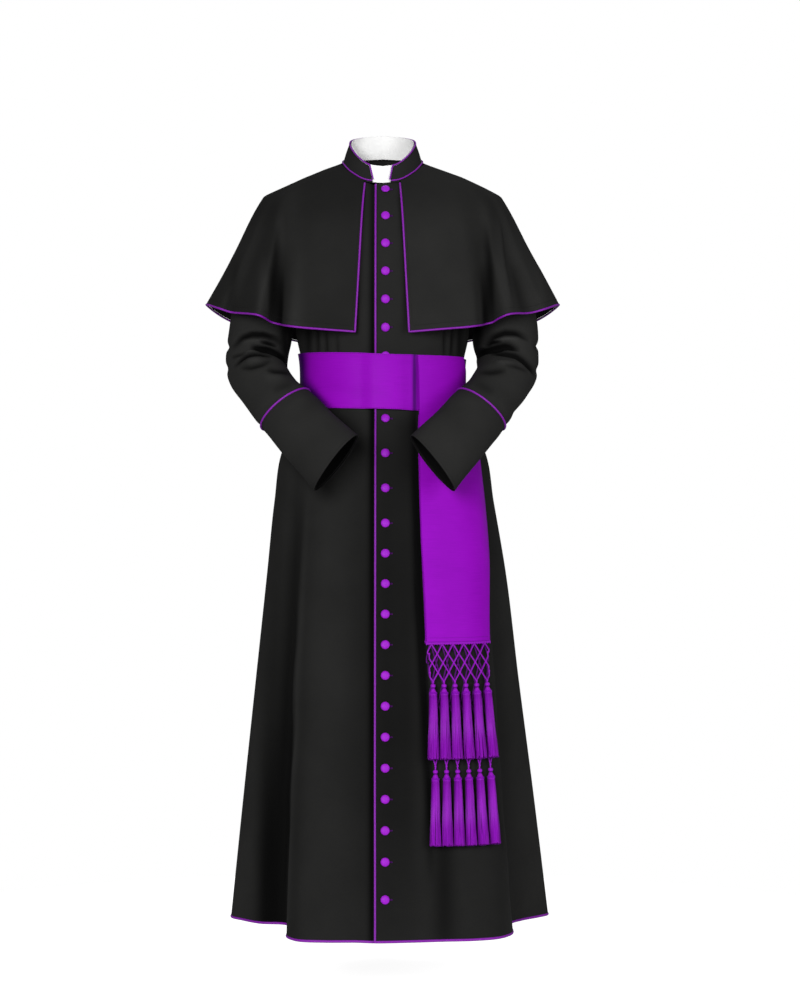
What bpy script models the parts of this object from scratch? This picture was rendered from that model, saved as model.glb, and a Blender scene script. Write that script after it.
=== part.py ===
"""A black cassock with a shoulder cape, purple piping and buttons, and a fringed sash.

It is hollow and stands as it is worn, with the forearms brought together in front.
Metres, +Z up. The wearer faces -Y, and the wearer's left is +X. The origin is
between the shoulders, level with the collar seam at the side of the neck."""
import math
from collections import namedtuple

import bmesh
import bpy
import numpy as np

SEAM_GAP = 0.0003        # between pieces that are sewn together
CLOTH = 0.0018           # wall of the wool cloth
CUFF_CLOTH = 0.0022      # a cuff is a turned-back double layer
COLLAR_CLOTH = 0.0020
SATIN = 0.0022           # wall of the sash, a folded double layer
PIPING_RADIUS = 0.0019
UNDERLAP_X = 0.030       # how far the wearer's right front runs under the left one
FRONT_EDGE_X = -0.0110   # edge of the wearer's left front, which lies on top
BUTTON_X = 0.0060
BUTTON_RADIUS = 0.0082
BUTTON_HEIGHT = 0.0056
CHEST_Z = -0.245
HEM_Z = -1.4250
FOLD_TOP_Z = -0.470      # the skirt's folds start under the sash
SIDE_SEAM = 0.52         # places round the body, from 0 at the front to 1 at the back
NECK_SIDE_FRONT = 0.20
SHOULDER_FRONT = 0.345
SHOULDER_BACK = 0.67
NECK_SIDE_BACK = 0.81

Level = namedtuple("Level", "name z right left front back")
LEVELS = (               # half widths and depths of the body from the origin's axis
    Level("chest", -0.245, 0.1690, 0.1690, 0.138, 0.112),
    Level("blouse", -0.335, 0.1620, 0.1620, 0.135, 0.109),
    Level("sash top", -0.372, 0.1540, 0.1540, 0.127, 0.103),
    Level("waist", -0.420, 0.1520, 0.1520, 0.125, 0.102),
    Level("under sash", -0.456, 0.1525, 0.1525, 0.126, 0.103),
    Level("sash foot", -0.476, 0.1550, 0.1555, 0.129, 0.105),
    Level("hip top", -0.508, 0.1765, 0.1785, 0.142, 0.117),
    Level("hip", -0.547, 0.1920, 0.1955, 0.152, 0.130),
    Level("thigh", -0.637, 0.2055, 0.2110, 0.168, 0.148),
    Level("mid thigh", -0.768, 0.2190, 0.2335, 0.190, 0.168),
    Level("knee", -0.975, 0.2410, 0.2590, 0.225, 0.200),
    Level("calf", -1.182, 0.2630, 0.2860, 0.260, 0.231),
    Level("hem", -1.425, 0.2880, 0.3160, 0.300, 0.264),
)

Bearing = namedtuple("Bearing", "place right_deg left_deg")
BEARINGS = (             # angle round the waist, from straight ahead
    Bearing(0.00, 0.0, 0.0),
    Bearing(0.10, 16.0, 20.0),
    Bearing(0.20, 32.0, 38.0),
    Bearing(0.28, 46.0, 55.0),
    Bearing(0.345, 60.0, 66.0),
    Bearing(0.52, 90.0, 90.0),
    Bearing(0.67, 119.0, 119.0),
    Bearing(0.81, 146.0, 146.0),
    Bearing(1.00, 180.0, 180.0),
)

Fold = namedtuple("Fold", "name place right_x right_y left_x left_y")
HEM_FOLDS = (            # the hem's outline, as shares of its half width and depth
    Fold("centre front", 0.00, 0.000, -0.985, 0.000, -0.985),
    Fold("beside the closing", 0.07, 0.160, -0.960, 0.330, -0.930),
    Fold("front panel", 0.14, 0.350, -0.960, 0.520, -0.900),
    Fold("panel edge", 0.25, 0.560, -0.875, 0.715, -0.760),
    Fold("panel turn", 0.29, 0.597, -0.765, 0.757, -0.640),
    Fold("side fold", 0.345, 0.612, -0.330, 0.752, -0.300),
    Fold("gore start", 0.395, 0.790, -0.265, 0.830, -0.145),
    Fold("gore", 0.45, 0.920, -0.130, 0.945, 0.000),
    Fold("side", 0.52, 1.000, 0.010, 1.000, 0.120),
    Fold("back gore", 0.60, 0.935, 0.360, 0.935, 0.360),
    Fold("outer pleat", 0.67, 0.780, 0.670, 0.780, 0.670),
    Fold("outer hollow", 0.74, 0.610, 0.650, 0.610, 0.650),
    Fold("inner pleat", 0.81, 0.440, 0.900, 0.440, 0.900),
    Fold("inner hollow", 0.89, 0.230, 0.830, 0.230, 0.830),
    Fold("centre back", 1.00, 0.000, 0.985, 0.000, 0.985),
)

NeckStop = namedtuple("NeckStop", "deg seam_z top_z")
NECK_STOPS = (           # height of the collar's seam and top edge round the neck
    NeckStop(0.0, -0.0440, -0.0130),
    NeckStop(25.0, -0.0400, -0.0080),
    NeckStop(50.0, -0.0240, 0.0100),
    NeckStop(75.0, -0.0060, 0.0300),
    NeckStop(90.0, 0.0000, 0.0390),
    NeckStop(135.0, 0.0110, 0.0530),
    NeckStop(180.0, 0.0160, 0.0590),
)
SEAM_HALF_WIDTH, SEAM_FRONT, SEAM_BACK = 0.0755, 0.0750, 0.0625
TOP_HALF_WIDTH, TOP_FRONT, TOP_BACK = 0.0630, 0.0690, 0.0510

SHOULDER_TIP = (0.2000, 0.0040, -0.0540)
SHOULDER_NORMAL = np.array((0.3987, 0.0, 0.9171))
ARMHOLE_CENTRE = np.array((0.185, 0.003, -0.145))
ARMHOLE_OUTWARD = np.array((0.984, 0.0, -0.178))
Hole = namedtuple("Hole", "place x y z")
ARMHOLE = (              # the armhole's edge, from the shoulder down and up again
    Hole(SHOULDER_FRONT, *SHOULDER_TIP),
    Hole(0.41, 0.1870, -0.0340, -0.1150),
    Hole(0.46, 0.1770, -0.0370, -0.1750),
    Hole(0.52, 0.1680, 0.0020, -0.2310),
    Hole(0.58, 0.1770, 0.0400, -0.1750),
    Hole(0.63, 0.1870, 0.0400, -0.1150),
    Hole(SHOULDER_BACK, *SHOULDER_TIP),
)

Ring = namedtuple("Ring", "name outer_x outer_z inner_x inner_z y depth")
SLEEVE_RINGS = (         # each ring's outer and inner side, seen from the front
    Ring("cap", 0.2250, -0.0720, 0.1725, -0.2395, 0.000, 0.048),
    Ring("upper arm", 0.2420, -0.1070, 0.1720, -0.2600, 0.001, 0.054),
    Ring("upper arm 2", 0.2580, -0.1550, 0.1725, -0.2820, 0.002, 0.056),
    Ring("upper arm 3", 0.2760, -0.2200, 0.1730, -0.3080, 0.004, 0.057),
    Ring("upper arm 4", 0.2890, -0.2850, 0.1735, -0.3350, 0.006, 0.059),
    Ring("above elbow", 0.2975, -0.3450, 0.1780, -0.3600, 0.004, 0.060),
    Ring("elbow", 0.2950, -0.3920, 0.1795, -0.3830, -0.012, 0.059),
    Ring("below elbow", 0.2800, -0.4290, 0.1750, -0.3980, -0.045, 0.055),
    Ring("forearm", 0.2510, -0.4690, 0.1610, -0.4150, -0.086, 0.052),
    Ring("forearm 2", 0.2250, -0.5050, 0.1390, -0.4340, -0.126, 0.051),
    Ring("wrist", 0.1790, -0.5630, 0.0970, -0.4780, -0.191, 0.052),
    Ring("mouth", 0.1310, -0.6200, 0.0520, -0.5190, -0.240, 0.056),
)
CUFF_START = 10.0        # the turn-back's upper edge, counted in rings from the armhole
CUFF_END = 12.0
SLEEVE_END = 11.97
MOUTH_SLANT = 0.75       # how far the cuff's mouth turns to face inward, across the body
RIGHT_CUFF_SHIFT = 0.009 # the wearer's right cuff comes further across

Gore = namedtuple("Gore", "name place neck_deg bend_x bend_y bend_z hem_x hem_y hem_z")
CAPE_GORES = (           # lines down the cape, from its front edge to the centre back
    Gore("front edge", 0.00, 27.0, 0.0405, -0.1210, -0.118, 0.0520, -0.1500, -0.3235),
    Gore("front", 0.10, 42.0, 0.0860, -0.1230, -0.100, 0.1120, -0.1540, -0.3190),
    Gore("front side", 0.19, 56.0, 0.1400, -0.1090, -0.080, 0.1720, -0.1500, -0.3135),
    Gore("fold hollow", 0.25, 65.0, 0.1690, -0.0880, -0.072, 0.2010, -0.0950, -0.3040),
    Gore("fold ridge", 0.31, 71.0, 0.1850, -0.0720, -0.067, 0.2330, -0.1220, -0.2905),
    Gore("hollow", 0.37, 77.0, 0.1975, -0.0500, -0.066, 0.2780, -0.0720, -0.2830),
    Gore("flute", 0.44, 84.0, 0.2150, -0.0280, -0.063, 0.3060, -0.0650, -0.2750),
    Gore("side", 0.52, 92.0, 0.2245, 0.0040, -0.0600, 0.3345, 0.0040, -0.2635),
    Gore("back side", 0.60, 102.0, 0.2060, 0.0450, -0.064, 0.3030, 0.0900, -0.284),
    Gore("back flute", 0.68, 115.0, 0.1720, 0.0780, -0.066, 0.2400, 0.1400, -0.308),
    Gore("back hollow", 0.76, 130.0, 0.1320, 0.0920, -0.064, 0.1780, 0.1340, -0.322),
    Gore("back ridge", 0.84, 146.0, 0.0930, 0.1010, -0.060, 0.1220, 0.1700, -0.331),
    Gore("inner hollow", 0.92, 163.0, 0.0460, 0.1040, -0.055, 0.0580, 0.1560, -0.337),
    Gore("centre back", 1.00, 180.0, 0.0000, 0.1050, -0.052, 0.0000, 0.1760, -0.340),
)
CAPE_BEND = 0.40         # share of a gore's length that lies on the shoulder
SHOULDER_CORNER = 0.75   # how sharply the cape turns over the shoulder tip
SHOULDER_SPREAD = 0.07   # places round the tip over which the corner fades

SASH_TOP_Z = -0.3640     # at the centre front
SASH_FOOT_Z = -0.4690
SASH_DROP = 0.035        # fall of the sash's edges for each metre towards +X
SASH_CLEAR = 0.0026
SASH_OVER_BUTTONS = 0.0050

FallEdge = namedtuple("FallEdge", "z left right")
FALL_EDGES = (           # the falls hang from the band's top and widen into the fringe
    FallEdge(-0.364, 0.0630, 0.1460),
    FallEdge(-0.469, 0.0645, 0.1500),
    FallEdge(-0.530, 0.0655, 0.1660),
    FallEdge(-0.610, 0.0670, 0.1765),
    FallEdge(-0.897, 0.0765, 0.1945),
    FallEdge(-0.985, 0.0780, 0.1980),
    FallEdge(-1.260, 0.0820, 0.2030),
)
Fall = namedtuple("Fall", "name top_z foot_z shift top_lift lift fringe_lift net_height net_rows")
FALLS = (                # lifts of the outer surface over the body; the shift is the fringe's
    Fall("front", -0.3660, -0.8970, 0.0000, 0.0084, 0.0120, 0.0162, 0.0680, 4),
    Fall("rear", -0.4820, -0.8930, 0.0040, 0.0095, 0.0062, 0.0102, 0.2225, 6),
)
LIFT_RUN = 0.030         # length below its top over which a fall comes away from the band
WRAP_FOOT_Z = -0.70      # below here a fall hangs straight instead of wrapping the body
WRAP_RUN = 0.20
TASSELS_PER_FALL = 6
NET_CORD = 0.0026
NET_THICKNESS = 0.0022
NET_HEADER = 0.0045
TASSEL_LENGTH = 0.1365
TASSEL_SIDES = 6
FOOT_SPREAD = 1.36       # a tassel's foot against its head
TASSEL_FAN = 1.08        # how far a fringe spreads from its knots to its feet
STRAND_SHARE = 0.80      # a strand's width against its share of the tassel
Bead = namedtuple("Bead", "drop radius")
TASSEL_HEAD = (          # outline of a tassel's bound head, from the top
    Bead(0.0000, 0.0022),
    Bead(0.0035, 0.0046),
    Bead(0.0085, 0.0034),
    Bead(0.0135, 0.0060),
    Bead(0.0180, 0.0069),
)

ButtonRun = namedtuple("ButtonRun", "name count first_z pitch")
BUTTON_RUNS = (          # down the closed front
    ButtonRun("chest", 8, -0.0570, 0.0520),
    ButtonRun("hip", 3, -0.4860, 0.0643),
    ButtonRun("skirt", 12, -0.6790, 0.0553),
    ButtonRun("last", 1, -1.3535, 0.0),
)


def smoothstep(t):
    t = min(max(t, 0.0), 1.0)
    return t * t * (3.0 - 2.0 * t)


def lerp(a, b, t):
    return a + (b - a) * t


def unit(v):
    return v / np.linalg.norm(v)


def smooth_curve(knots, values):
    """A smooth curve through the values, one for each knot."""
    knots = np.array(knots, float)
    values = np.array(values, float)
    slopes = np.gradient(values, knots, axis=0)

    def at(t):
        i = int(min(max(np.searchsorted(knots, t) - 1, 0), len(knots) - 2))
        span = knots[i + 1] - knots[i]
        s = min(max((t - knots[i]) / span, 0.0), 1.0)
        a, b = values[i], values[i + 1]
        bend = s * (1.0 - s) * ((1.0 - s) * (slopes[i] * span - (b - a))
                                + s * ((b - a) - slopes[i + 1] * span))
        return a + (b - a) * s + bend

    return at


def round_trip(rows, right, left, odd):
    """A table from centre front to centre back as one closed curve round the body."""
    sign = -1.0 if odd else 1.0
    knots = [-row.place for row in reversed(rows)] + [row.place for row in rows[1:]]
    values = [sign * getattr(row, right) for row in reversed(rows)]
    values += [getattr(row, left) for row in rows[1:]]
    return smooth_curve(knots, values)


level_size = smooth_curve([-row.z for row in LEVELS],
                          [(row.right, row.left, row.front, row.back) for row in LEVELS])
bearing_at = round_trip(BEARINGS, "right_deg", "left_deg", True)
hem_x_at = round_trip(HEM_FOLDS, "right_x", "left_x", True)
hem_y_at = round_trip(HEM_FOLDS, "right_y", "left_y", False)
neck_height = smooth_curve([stop.deg for stop in NECK_STOPS],
                           [(stop.seam_z, stop.top_z) for stop in NECK_STOPS])
armhole_at = smooth_curve([hole.place for hole in ARMHOLE],
                          [(hole.x, hole.y, hole.z) for hole in ARMHOLE])


def neck_point(deg, height, grow=0.0):
    """A point of the collar: height 0 at its seam, 1 at its top edge."""
    angle = math.radians(deg)
    half = lerp(SEAM_HALF_WIDTH, TOP_HALF_WIDTH, height) + grow
    front = lerp(SEAM_FRONT, TOP_FRONT, height) + grow
    back = lerp(SEAM_BACK, TOP_BACK, height) + grow
    seam_z, top_z = neck_height(abs(deg))
    depth = front if math.cos(angle) > 0.0 else back
    return np.array((half * math.sin(angle), -depth * math.cos(angle),
                     lerp(seam_z, top_z, height)))


def body_section(place, z):
    """The body's outer surface at a place round it and a height below the chest."""
    right, left, front, back = level_size(-z)
    angle = math.radians(bearing_at(place))
    fold = max((FOLD_TOP_Z - z) / (FOLD_TOP_Z - HEM_Z), 0.0) ** 0.75
    x = lerp(math.sin(angle), hem_x_at(place), fold)
    y = lerp(-math.cos(angle), hem_y_at(place), fold)
    return np.array((x * (left if x > 0.0 else right), y * (back if y > 0.0 else front), z))


def body_top(place):
    """The body's upper edge: neckline, shoulder seam, armhole and back again."""
    side = 1.0 if place >= 0.0 else -1.0
    p = abs(place)
    neck_side = neck_point(90.0, 0.0)
    if p <= NECK_SIDE_FRONT:
        top = neck_point(90.0 * p / NECK_SIDE_FRONT, 0.0)
    elif p < SHOULDER_FRONT:
        share = (p - NECK_SIDE_FRONT) / (SHOULDER_FRONT - NECK_SIDE_FRONT)
        top = lerp(neck_side, np.array(SHOULDER_TIP), share)
    elif p <= SHOULDER_BACK:
        top = armhole_at(p)
    elif p < NECK_SIDE_BACK:
        share = (NECK_SIDE_BACK - p) / (NECK_SIDE_BACK - SHOULDER_BACK)
        top = lerp(neck_side, np.array(SHOULDER_TIP), share)
    else:
        top = neck_point(90.0 + 90.0 * (p - NECK_SIDE_BACK) / (1.0 - NECK_SIDE_BACK), 0.0)
    return top * np.array((side, 1.0, 1.0))


def body_point(place, down):
    """Outer surface of the body: down is 0 at its upper edge, 1 at the chest, 2 at the hem."""
    if down >= 1.0:
        return body_section(place, lerp(CHEST_Z, HEM_Z, down - 1.0))
    top = body_top(place)
    chest = body_section(place, CHEST_Z)
    turn = np.array((0.5 * (top[0] + chest[0]), lerp(top[1], chest[1], 0.9),
                     lerp(top[2], chest[2], 0.25)))
    return (1.0 - down) ** 2 * top + 2.0 * down * (1.0 - down) * turn + down ** 2 * chest


def body_normal(place, down):
    """Outward direction of the body's surface, shared by the cloths that meet at its top."""
    p = abs(place)
    if down < 0.01 and NECK_SIDE_FRONT <= p <= NECK_SIDE_BACK:
        if SHOULDER_FRONT < p < SHOULDER_BACK:
            normal = unit(armhole_at(p) - ARMHOLE_CENTRE)
        else:
            normal = SHOULDER_NORMAL
        return normal * np.array((math.copysign(1.0, place), 1.0, 1.0))
    step = 0.004
    across = body_point(place + step, down) - body_point(place - step, down)
    low = max(down - step, 0.0)
    along = body_point(place, min(down + step, 2.0)) - body_point(place, low)
    return unit(np.cross(along, across))


def place_at_x(x, down):
    """The place in front whose surface has a given x."""
    low, high = -0.42, 0.42
    for _ in range(26):
        middle = 0.5 * (low + high)
        if body_point(middle, down)[0] < x:
            low = middle
        else:
            high = middle
    return 0.5 * (low + high)


def down_at_z(x, z):
    """The row parameter of the front where it passes height z at a given x."""
    if z <= CHEST_Z:
        return 1.0 + (CHEST_Z - z) / (CHEST_Z - HEM_Z)
    low, high = 0.0, 1.0
    for _ in range(26):
        middle = 0.5 * (low + high)
        if body_point(place_at_x(x, middle), middle)[2] > z:
            low = middle
        else:
            high = middle
    return 0.5 * (low + high)


def on_front(x, z):
    """The place and row of the front at a given x and height."""
    down = down_at_z(x, z)
    return place_at_x(x, down), down


def cloth_colour(name, colour, roughness):
    material = bpy.data.materials.new(name)
    material.use_nodes = True
    shader = material.node_tree.nodes["Principled BSDF"]
    shader.inputs["Base Color"].default_value = (*colour, 1.0)
    shader.inputs["Roughness"].default_value = roughness
    material.diffuse_color = (*colour, 1.0)
    return material


def add_object(name, vertices, faces, material, smooth=True):
    mesh = bpy.data.meshes.new(name)
    mesh.from_pydata([tuple(v) for v in vertices], [], faces)
    form = bmesh.new()
    form.from_mesh(mesh)
    bmesh.ops.recalc_face_normals(form, faces=form.faces)
    form.to_mesh(mesh)
    form.free()
    mesh.materials.append(material)
    if smooth:
        mesh.shade_smooth()
        mesh.set_sharp_from_angle(angle=math.radians(50.0))
    piece = bpy.data.objects.new(name, mesh)
    bpy.context.scene.collection.objects.link(piece)
    return piece


def cloth_wall(name, outer, inner, material, closed=False):
    """A wall of cloth between two grids of points, as rows of columns."""
    outer = np.array(outer)
    inner = np.array(inner)
    rows, columns = outer.shape[:2]
    vertices = np.concatenate((outer.reshape(-1, 3), inner.reshape(-1, 3)))
    inside = rows * columns
    last = columns if closed else columns - 1
    faces = []
    for r in range(rows - 1):
        for c in range(last):
            a = r * columns + c
            b = r * columns + (c + 1) % columns
            below_a, below_b = a + columns, b + columns
            # both sides of the wall bend along the same diagonal, so they can't cross
            if (np.linalg.norm(vertices[a] - vertices[below_b])
                    < np.linalg.norm(vertices[b] - vertices[below_a])):
                halves = (a, b, below_b), (a, below_b, below_a)
            else:
                halves = (a, b, below_a), (b, below_b, below_a)
            for half in halves:
                faces.append(half)
                faces.append(tuple(inside + corner for corner in reversed(half)))
    for c in range(last):
        a, b = c, (c + 1) % columns
        faces.append((a, inside + a, inside + b, b))
        a, b = a + inside - columns, b + inside - columns
        faces.append((a, b, inside + b, inside + a))
    if not closed:
        for r in range(rows - 1):
            for c in (0, columns - 1):
                a, b = r * columns + c, (r + 1) * columns + c
                faces.append((a, b, inside + b, inside + a))
    return add_object(name, vertices, faces, material)


def tube(name, points, radius, material, sides=4, closed=False):
    """A round cord through the points, with flat ends unless it is closed."""
    points = [np.array(p) for p in points]
    count = len(points)
    vertices = []
    side_way = None
    for i, point in enumerate(points):
        before = points[i - 1] if closed or i else point
        after = points[(i + 1) % count] if closed or i < count - 1 else point
        along = unit(after - before)
        if side_way is None:
            helper = np.array((0.0, 0.0, 1.0)) if abs(along[2]) < 0.8 else np.array((1.0, 0.0, 0.0))
            side_way = unit(np.cross(along, helper))
        side_way = unit(side_way - along * np.dot(side_way, along))
        other_way = np.cross(along, side_way)
        for k in range(sides):
            turn = 2.0 * math.pi * (k + 0.5) / sides
            vertices.append(point + radius * (math.cos(turn) * side_way + math.sin(turn) * other_way))
    faces = []
    for i in range(count if closed else count - 1):
        a, b = i * sides, (i + 1) % count * sides
        for k in range(sides):
            n = (k + 1) % sides
            faces.append((a + k, a + n, b + n, b + k))
    if not closed:
        faces.append(tuple(range(sides)))
        faces.append(tuple(range((count - 1) * sides, count * sides)))
    return add_object(name, vertices, faces, material)


def trimmed_place(place, down, toward):
    """A place moved half a seam gap along the surface, toward another place."""
    step = math.copysign(0.001, toward - place)
    run = np.linalg.norm(body_point(place + step, down) - body_point(place, down))
    return place + step * 0.5 * SEAM_GAP / run


def trimmed_down(place):
    """The row parameter half a seam gap below the body's upper edge."""
    run = np.linalg.norm(body_point(place, 0.001) - body_point(place, 0.0))
    return 0.001 * 0.5 * SEAM_GAP / run


BODY_ROWS = (0.0, 0.33, 0.66) + tuple(
    1.0 + (CHEST_Z - level.z) / (CHEST_Z - HEM_Z) for level in LEVELS)


def body_wall(name, places_on_row, sink_at, material):
    """A panel of the body: its places on each row, sunk where another panel lies over it."""
    outer, inner = [], []
    for row in BODY_ROWS:
        outer_row, inner_row = [], []
        for place in places_on_row(max(row, 0.0005)):
            down = max(row, trimmed_down(place))
            point = body_point(place, down)
            normal = body_normal(place, down)
            point = point - sink_at(point[0]) * normal
            outer_row.append(point)
            inner_row.append(point - CLOTH * normal)
        outer.append(outer_row)
        inner.append(inner_row)
    return cloth_wall(name, outer, inner, material)


UNDERLAP_COLUMNS = (UNDERLAP_X, BUTTON_X, FRONT_EDGE_X)
FRONT_PLACES = (0.10, 0.14, 0.20, 0.25, 0.29, 0.318, 0.345, 0.37, 0.395, 0.42, 0.45, 0.485)
BACK_PLACES = (0.545, 0.57, 0.595, 0.62, 0.645, 0.67, 0.705, 0.74, 0.775, 0.81, 0.85, 0.89, 0.945)


def build_front_left(material):
    def places(down):
        near = [place_at_x(x, down) for x in reversed(UNDERLAP_COLUMNS)]
        seam = trimmed_place(SIDE_SEAM, down, 0.0)
        return tuple(near) + FRONT_PLACES + (seam,)

    return body_wall("front_left", places, lambda x: 0.0, material)


def build_front_right(material):
    """The right front dips under the left one at the closing."""
    dip_start, dip_end = -0.038, -0.020

    def places(down):
        near = [place_at_x(x, down) for x in UNDERLAP_COLUMNS + (dip_end, dip_start)]
        seam = trimmed_place(-SIDE_SEAM, down, 0.0)
        return tuple(near) + tuple(-p for p in FRONT_PLACES) + (seam,)

    def sink(x):
        return (CLOTH + 0.0005) * smoothstep((x - dip_start) / (dip_end - dip_start))

    return body_wall("front_right", places, sink, material)


def build_back(material):
    def places(down):
        start = trimmed_place(SIDE_SEAM, down, 1.0)
        end = trimmed_place(-SIDE_SEAM, down, -1.0)
        mirrored = tuple(-p for p in reversed(BACK_PLACES))
        return (start,) + BACK_PLACES + (1.0,) + mirrored + (end,)

    return body_wall("back", places, lambda x: 0.0, material)


ring_values = smooth_curve(range(1, len(SLEEVE_RINGS) + 1), [ring[1:] for ring in SLEEVE_RINGS])


def armhole_place(angle):
    """The place on the armhole's edge at an angle from the shoulder, 180 at the underarm."""
    if angle <= 180.0:
        return lerp(SHOULDER_FRONT, SIDE_SEAM, angle / 180.0)
    return lerp(SIDE_SEAM, SHOULDER_BACK, angle / 180.0 - 1.0)


def sleeve_ring_point(ring, angle, grow):
    outer_x, outer_z, inner_x, inner_z, y, depth = ring_values(ring)
    centre = np.array((0.5 * (outer_x + inner_x), y, 0.5 * (outer_z + inner_z)))
    across = np.array((outer_x - inner_x, 0.0, outer_z - inner_z))
    half_width = 0.5 * np.linalg.norm(across)
    ahead, behind = ring_values(ring + 0.1), ring_values(ring - 0.1)
    along = np.array((0.5 * (ahead[0] + ahead[2] - behind[0] - behind[2]), ahead[4] - behind[4],
                      0.5 * (ahead[1] + ahead[3] - behind[1] - behind[3])))
    slant = MOUTH_SLANT * smoothstep((ring - 6.5) / 5.0)
    frontward = unit(np.cross(along, across))
    frontward = unit(lerp(frontward, np.array((0.0, -1.0, 0.0)), slant))
    turn = math.radians(angle)
    return (centre + (half_width + grow) * math.cos(turn) * unit(across)
            + (depth + grow) * math.sin(turn) * frontward)


def sleeve_point(side, ring, angle, grow=0.0):
    """Outer surface of a sleeve, grown outward; ring 0 is the armhole and 12 the cuff's mouth."""
    if ring < 1.0:
        place = armhole_place(angle)
        edge = armhole_at(place) + (SEAM_GAP + 0.0002) * ARMHOLE_OUTWARD
        edge = edge + grow * body_normal(place, 0.0)
        point = lerp(edge, sleeve_ring_point(1.0, angle, grow), ring)
    else:
        point = sleeve_ring_point(ring, angle, grow)
    if side < 0.0:
        point = point - np.array((RIGHT_CUFF_SHIFT * smoothstep((ring - 8.5) / 3.5), 0.0, 0.0))
    return point * np.array((side, 1.0, 1.0))


SIDES = (("right", -1.0), ("left", 1.0))
SLEEVE_ROWS = (0.0, 0.5, 1.0, 2.0, 3.0, 4.0, 5.0, 6.0, 7.0, 8.0, 9.0, 9.65, 10.0, 11.0, SLEEVE_END)
ring_angles = [180.0 * (p - SHOULDER_FRONT) / (SIDE_SEAM - SHOULDER_FRONT)
               for p in FRONT_PLACES if p >= SHOULDER_FRONT]
ring_angles += [180.0 + 180.0 * (p - SIDE_SEAM) / (SHOULDER_BACK - SIDE_SEAM)
                for p in (SIDE_SEAM,) + BACK_PLACES if p < SHOULDER_BACK]


def build_sleeve(name, side, material):
    outer, inner = [], []
    for ring in SLEEVE_ROWS:
        tuck = (CUFF_CLOTH + SEAM_GAP) * smoothstep((ring - CUFF_START + 0.35) / 0.3)
        outer.append([sleeve_point(side, ring, angle, -tuck) for angle in ring_angles])
        inner.append([sleeve_point(side, ring, angle, -tuck - CLOTH) for angle in ring_angles])
    return cloth_wall("sleeve_" + name, outer, inner, material, closed=True)


def build_cuff(name, side, material):
    outer, inner = [], []
    for ring in (CUFF_START, lerp(CUFF_START, CUFF_END, 0.5), CUFF_END):
        outer.append([sleeve_point(side, ring, angle) for angle in ring_angles])
        inner.append([sleeve_point(side, ring, angle, -CUFF_CLOTH) for angle in ring_angles])
    return cloth_wall("cuff_" + name, outer, inner, material, closed=True)


def build_cuff_piping(name, side, material):
    lift = PIPING_RADIUS - 0.5 * CUFF_CLOTH
    back = PIPING_RADIUS + SEAM_GAP
    points = []
    for angle in ring_angles:
        edge = sleeve_point(side, CUFF_START, angle, lift)
        above = sleeve_point(side, CUFF_START - 0.1, angle, lift)
        points.append(edge + back * unit(above - edge))
    return tube("piping_cuff_" + name, points, PIPING_RADIUS, material, closed=True)


NECK_ROWS = (0.0, 0.35, 0.7, 1.0)
NOTCH_FOOT = (-0.018, 0.015)   # x of the collar's two ends at its seam
NOTCH_TOP = (-0.026, 0.021)
COLLAR_COLUMNS = 26
COLLAR_FOOT_GAP = 0.0008


def collar_bearing(share, height):
    """Bearing of a column of the collar, from its left end round the back to its right end."""
    half = lerp(SEAM_HALF_WIDTH, TOP_HALF_WIDTH, height)
    right_end = math.degrees(math.asin(lerp(NOTCH_FOOT[0], NOTCH_TOP[0], height) / half))
    left_end = math.degrees(math.asin(lerp(NOTCH_FOOT[1], NOTCH_TOP[1], height) / half))
    return lerp(left_end, 360.0 + right_end, share)


def collar_point(share, height, grow=0.0):
    """Outer surface of the collar, whose foot stands just over the body's neckline."""
    deg = collar_bearing(share, height)
    point = neck_point(deg if deg <= 180.0 else deg - 360.0, height, grow)
    return point + np.array((0.0, 0.0, COLLAR_FOOT_GAP * (1.0 - height)))


def build_collar(material):
    shares = [c / COLLAR_COLUMNS for c in range(COLLAR_COLUMNS + 1)]
    outer = [[collar_point(share, h) for share in shares] for h in NECK_ROWS]
    inner = [[collar_point(share, h, -COLLAR_CLOTH) for share in shares] for h in NECK_ROWS]
    return cloth_wall("collar", outer, inner, material)


def build_collar_insert(material):
    """The white band inside the collar shows in its notch and as a thin rim."""
    clear = COLLAR_CLOTH + 0.0021
    thick = 0.0012
    rise = 0.0028
    degs = [-180.0 + 15.0 * k for k in range(24)]
    outer, inner = [], []
    for height in (0.06, 0.5, 1.0):
        lift = np.array((0.0, 0.0, rise * smoothstep(height)))
        outer.append([neck_point(deg, height, -clear) + lift for deg in degs])
        inner.append([neck_point(deg, height, -clear - thick) + lift for deg in degs])
    return cloth_wall("collar_insert", outer, inner, material, closed=True)


def build_collar_pipings(material):
    """One cord lies along the collar's seam, one along its ends and top edge."""
    radius = 0.0014
    out = radius + SEAM_GAP
    middle = 0.3 * radius - 0.5 * COLLAR_CLOTH
    shares = [c / COLLAR_COLUMNS for c in range(COLLAR_COLUMNS + 1)]
    seam = [collar_point(share, 0.13, out + 0.0003) for share in shares]
    tube("piping_collar_seam", seam, radius, material)

    def over_top(share):
        point = collar_point(share, 1.0, middle)
        along = collar_point(min(share + 0.01, 1.0), 1.0) - collar_point(max(share - 0.01, 0.0), 1.0)
        outward = collar_point(share, 1.0, 0.01) - collar_point(share, 1.0)
        return point + out * unit(np.cross(outward, along))

    left_way = np.array((-out - 0.0003, 0.0, 0.0))
    heights = (0.26, 0.55, 0.85)
    left_end = [collar_point(0.0, h, middle) + left_way for h in heights]
    left_corner = over_top(0.0) + left_way
    right_corner = over_top(1.0) - left_way
    right_end = [collar_point(1.0, h, middle) - left_way for h in reversed(heights)]
    top = [over_top(share) for share in shares[1:-1]]
    points = left_end + [left_corner] + top + [right_corner] + right_end
    tube("piping_collar_edge", points, radius, material)


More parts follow.
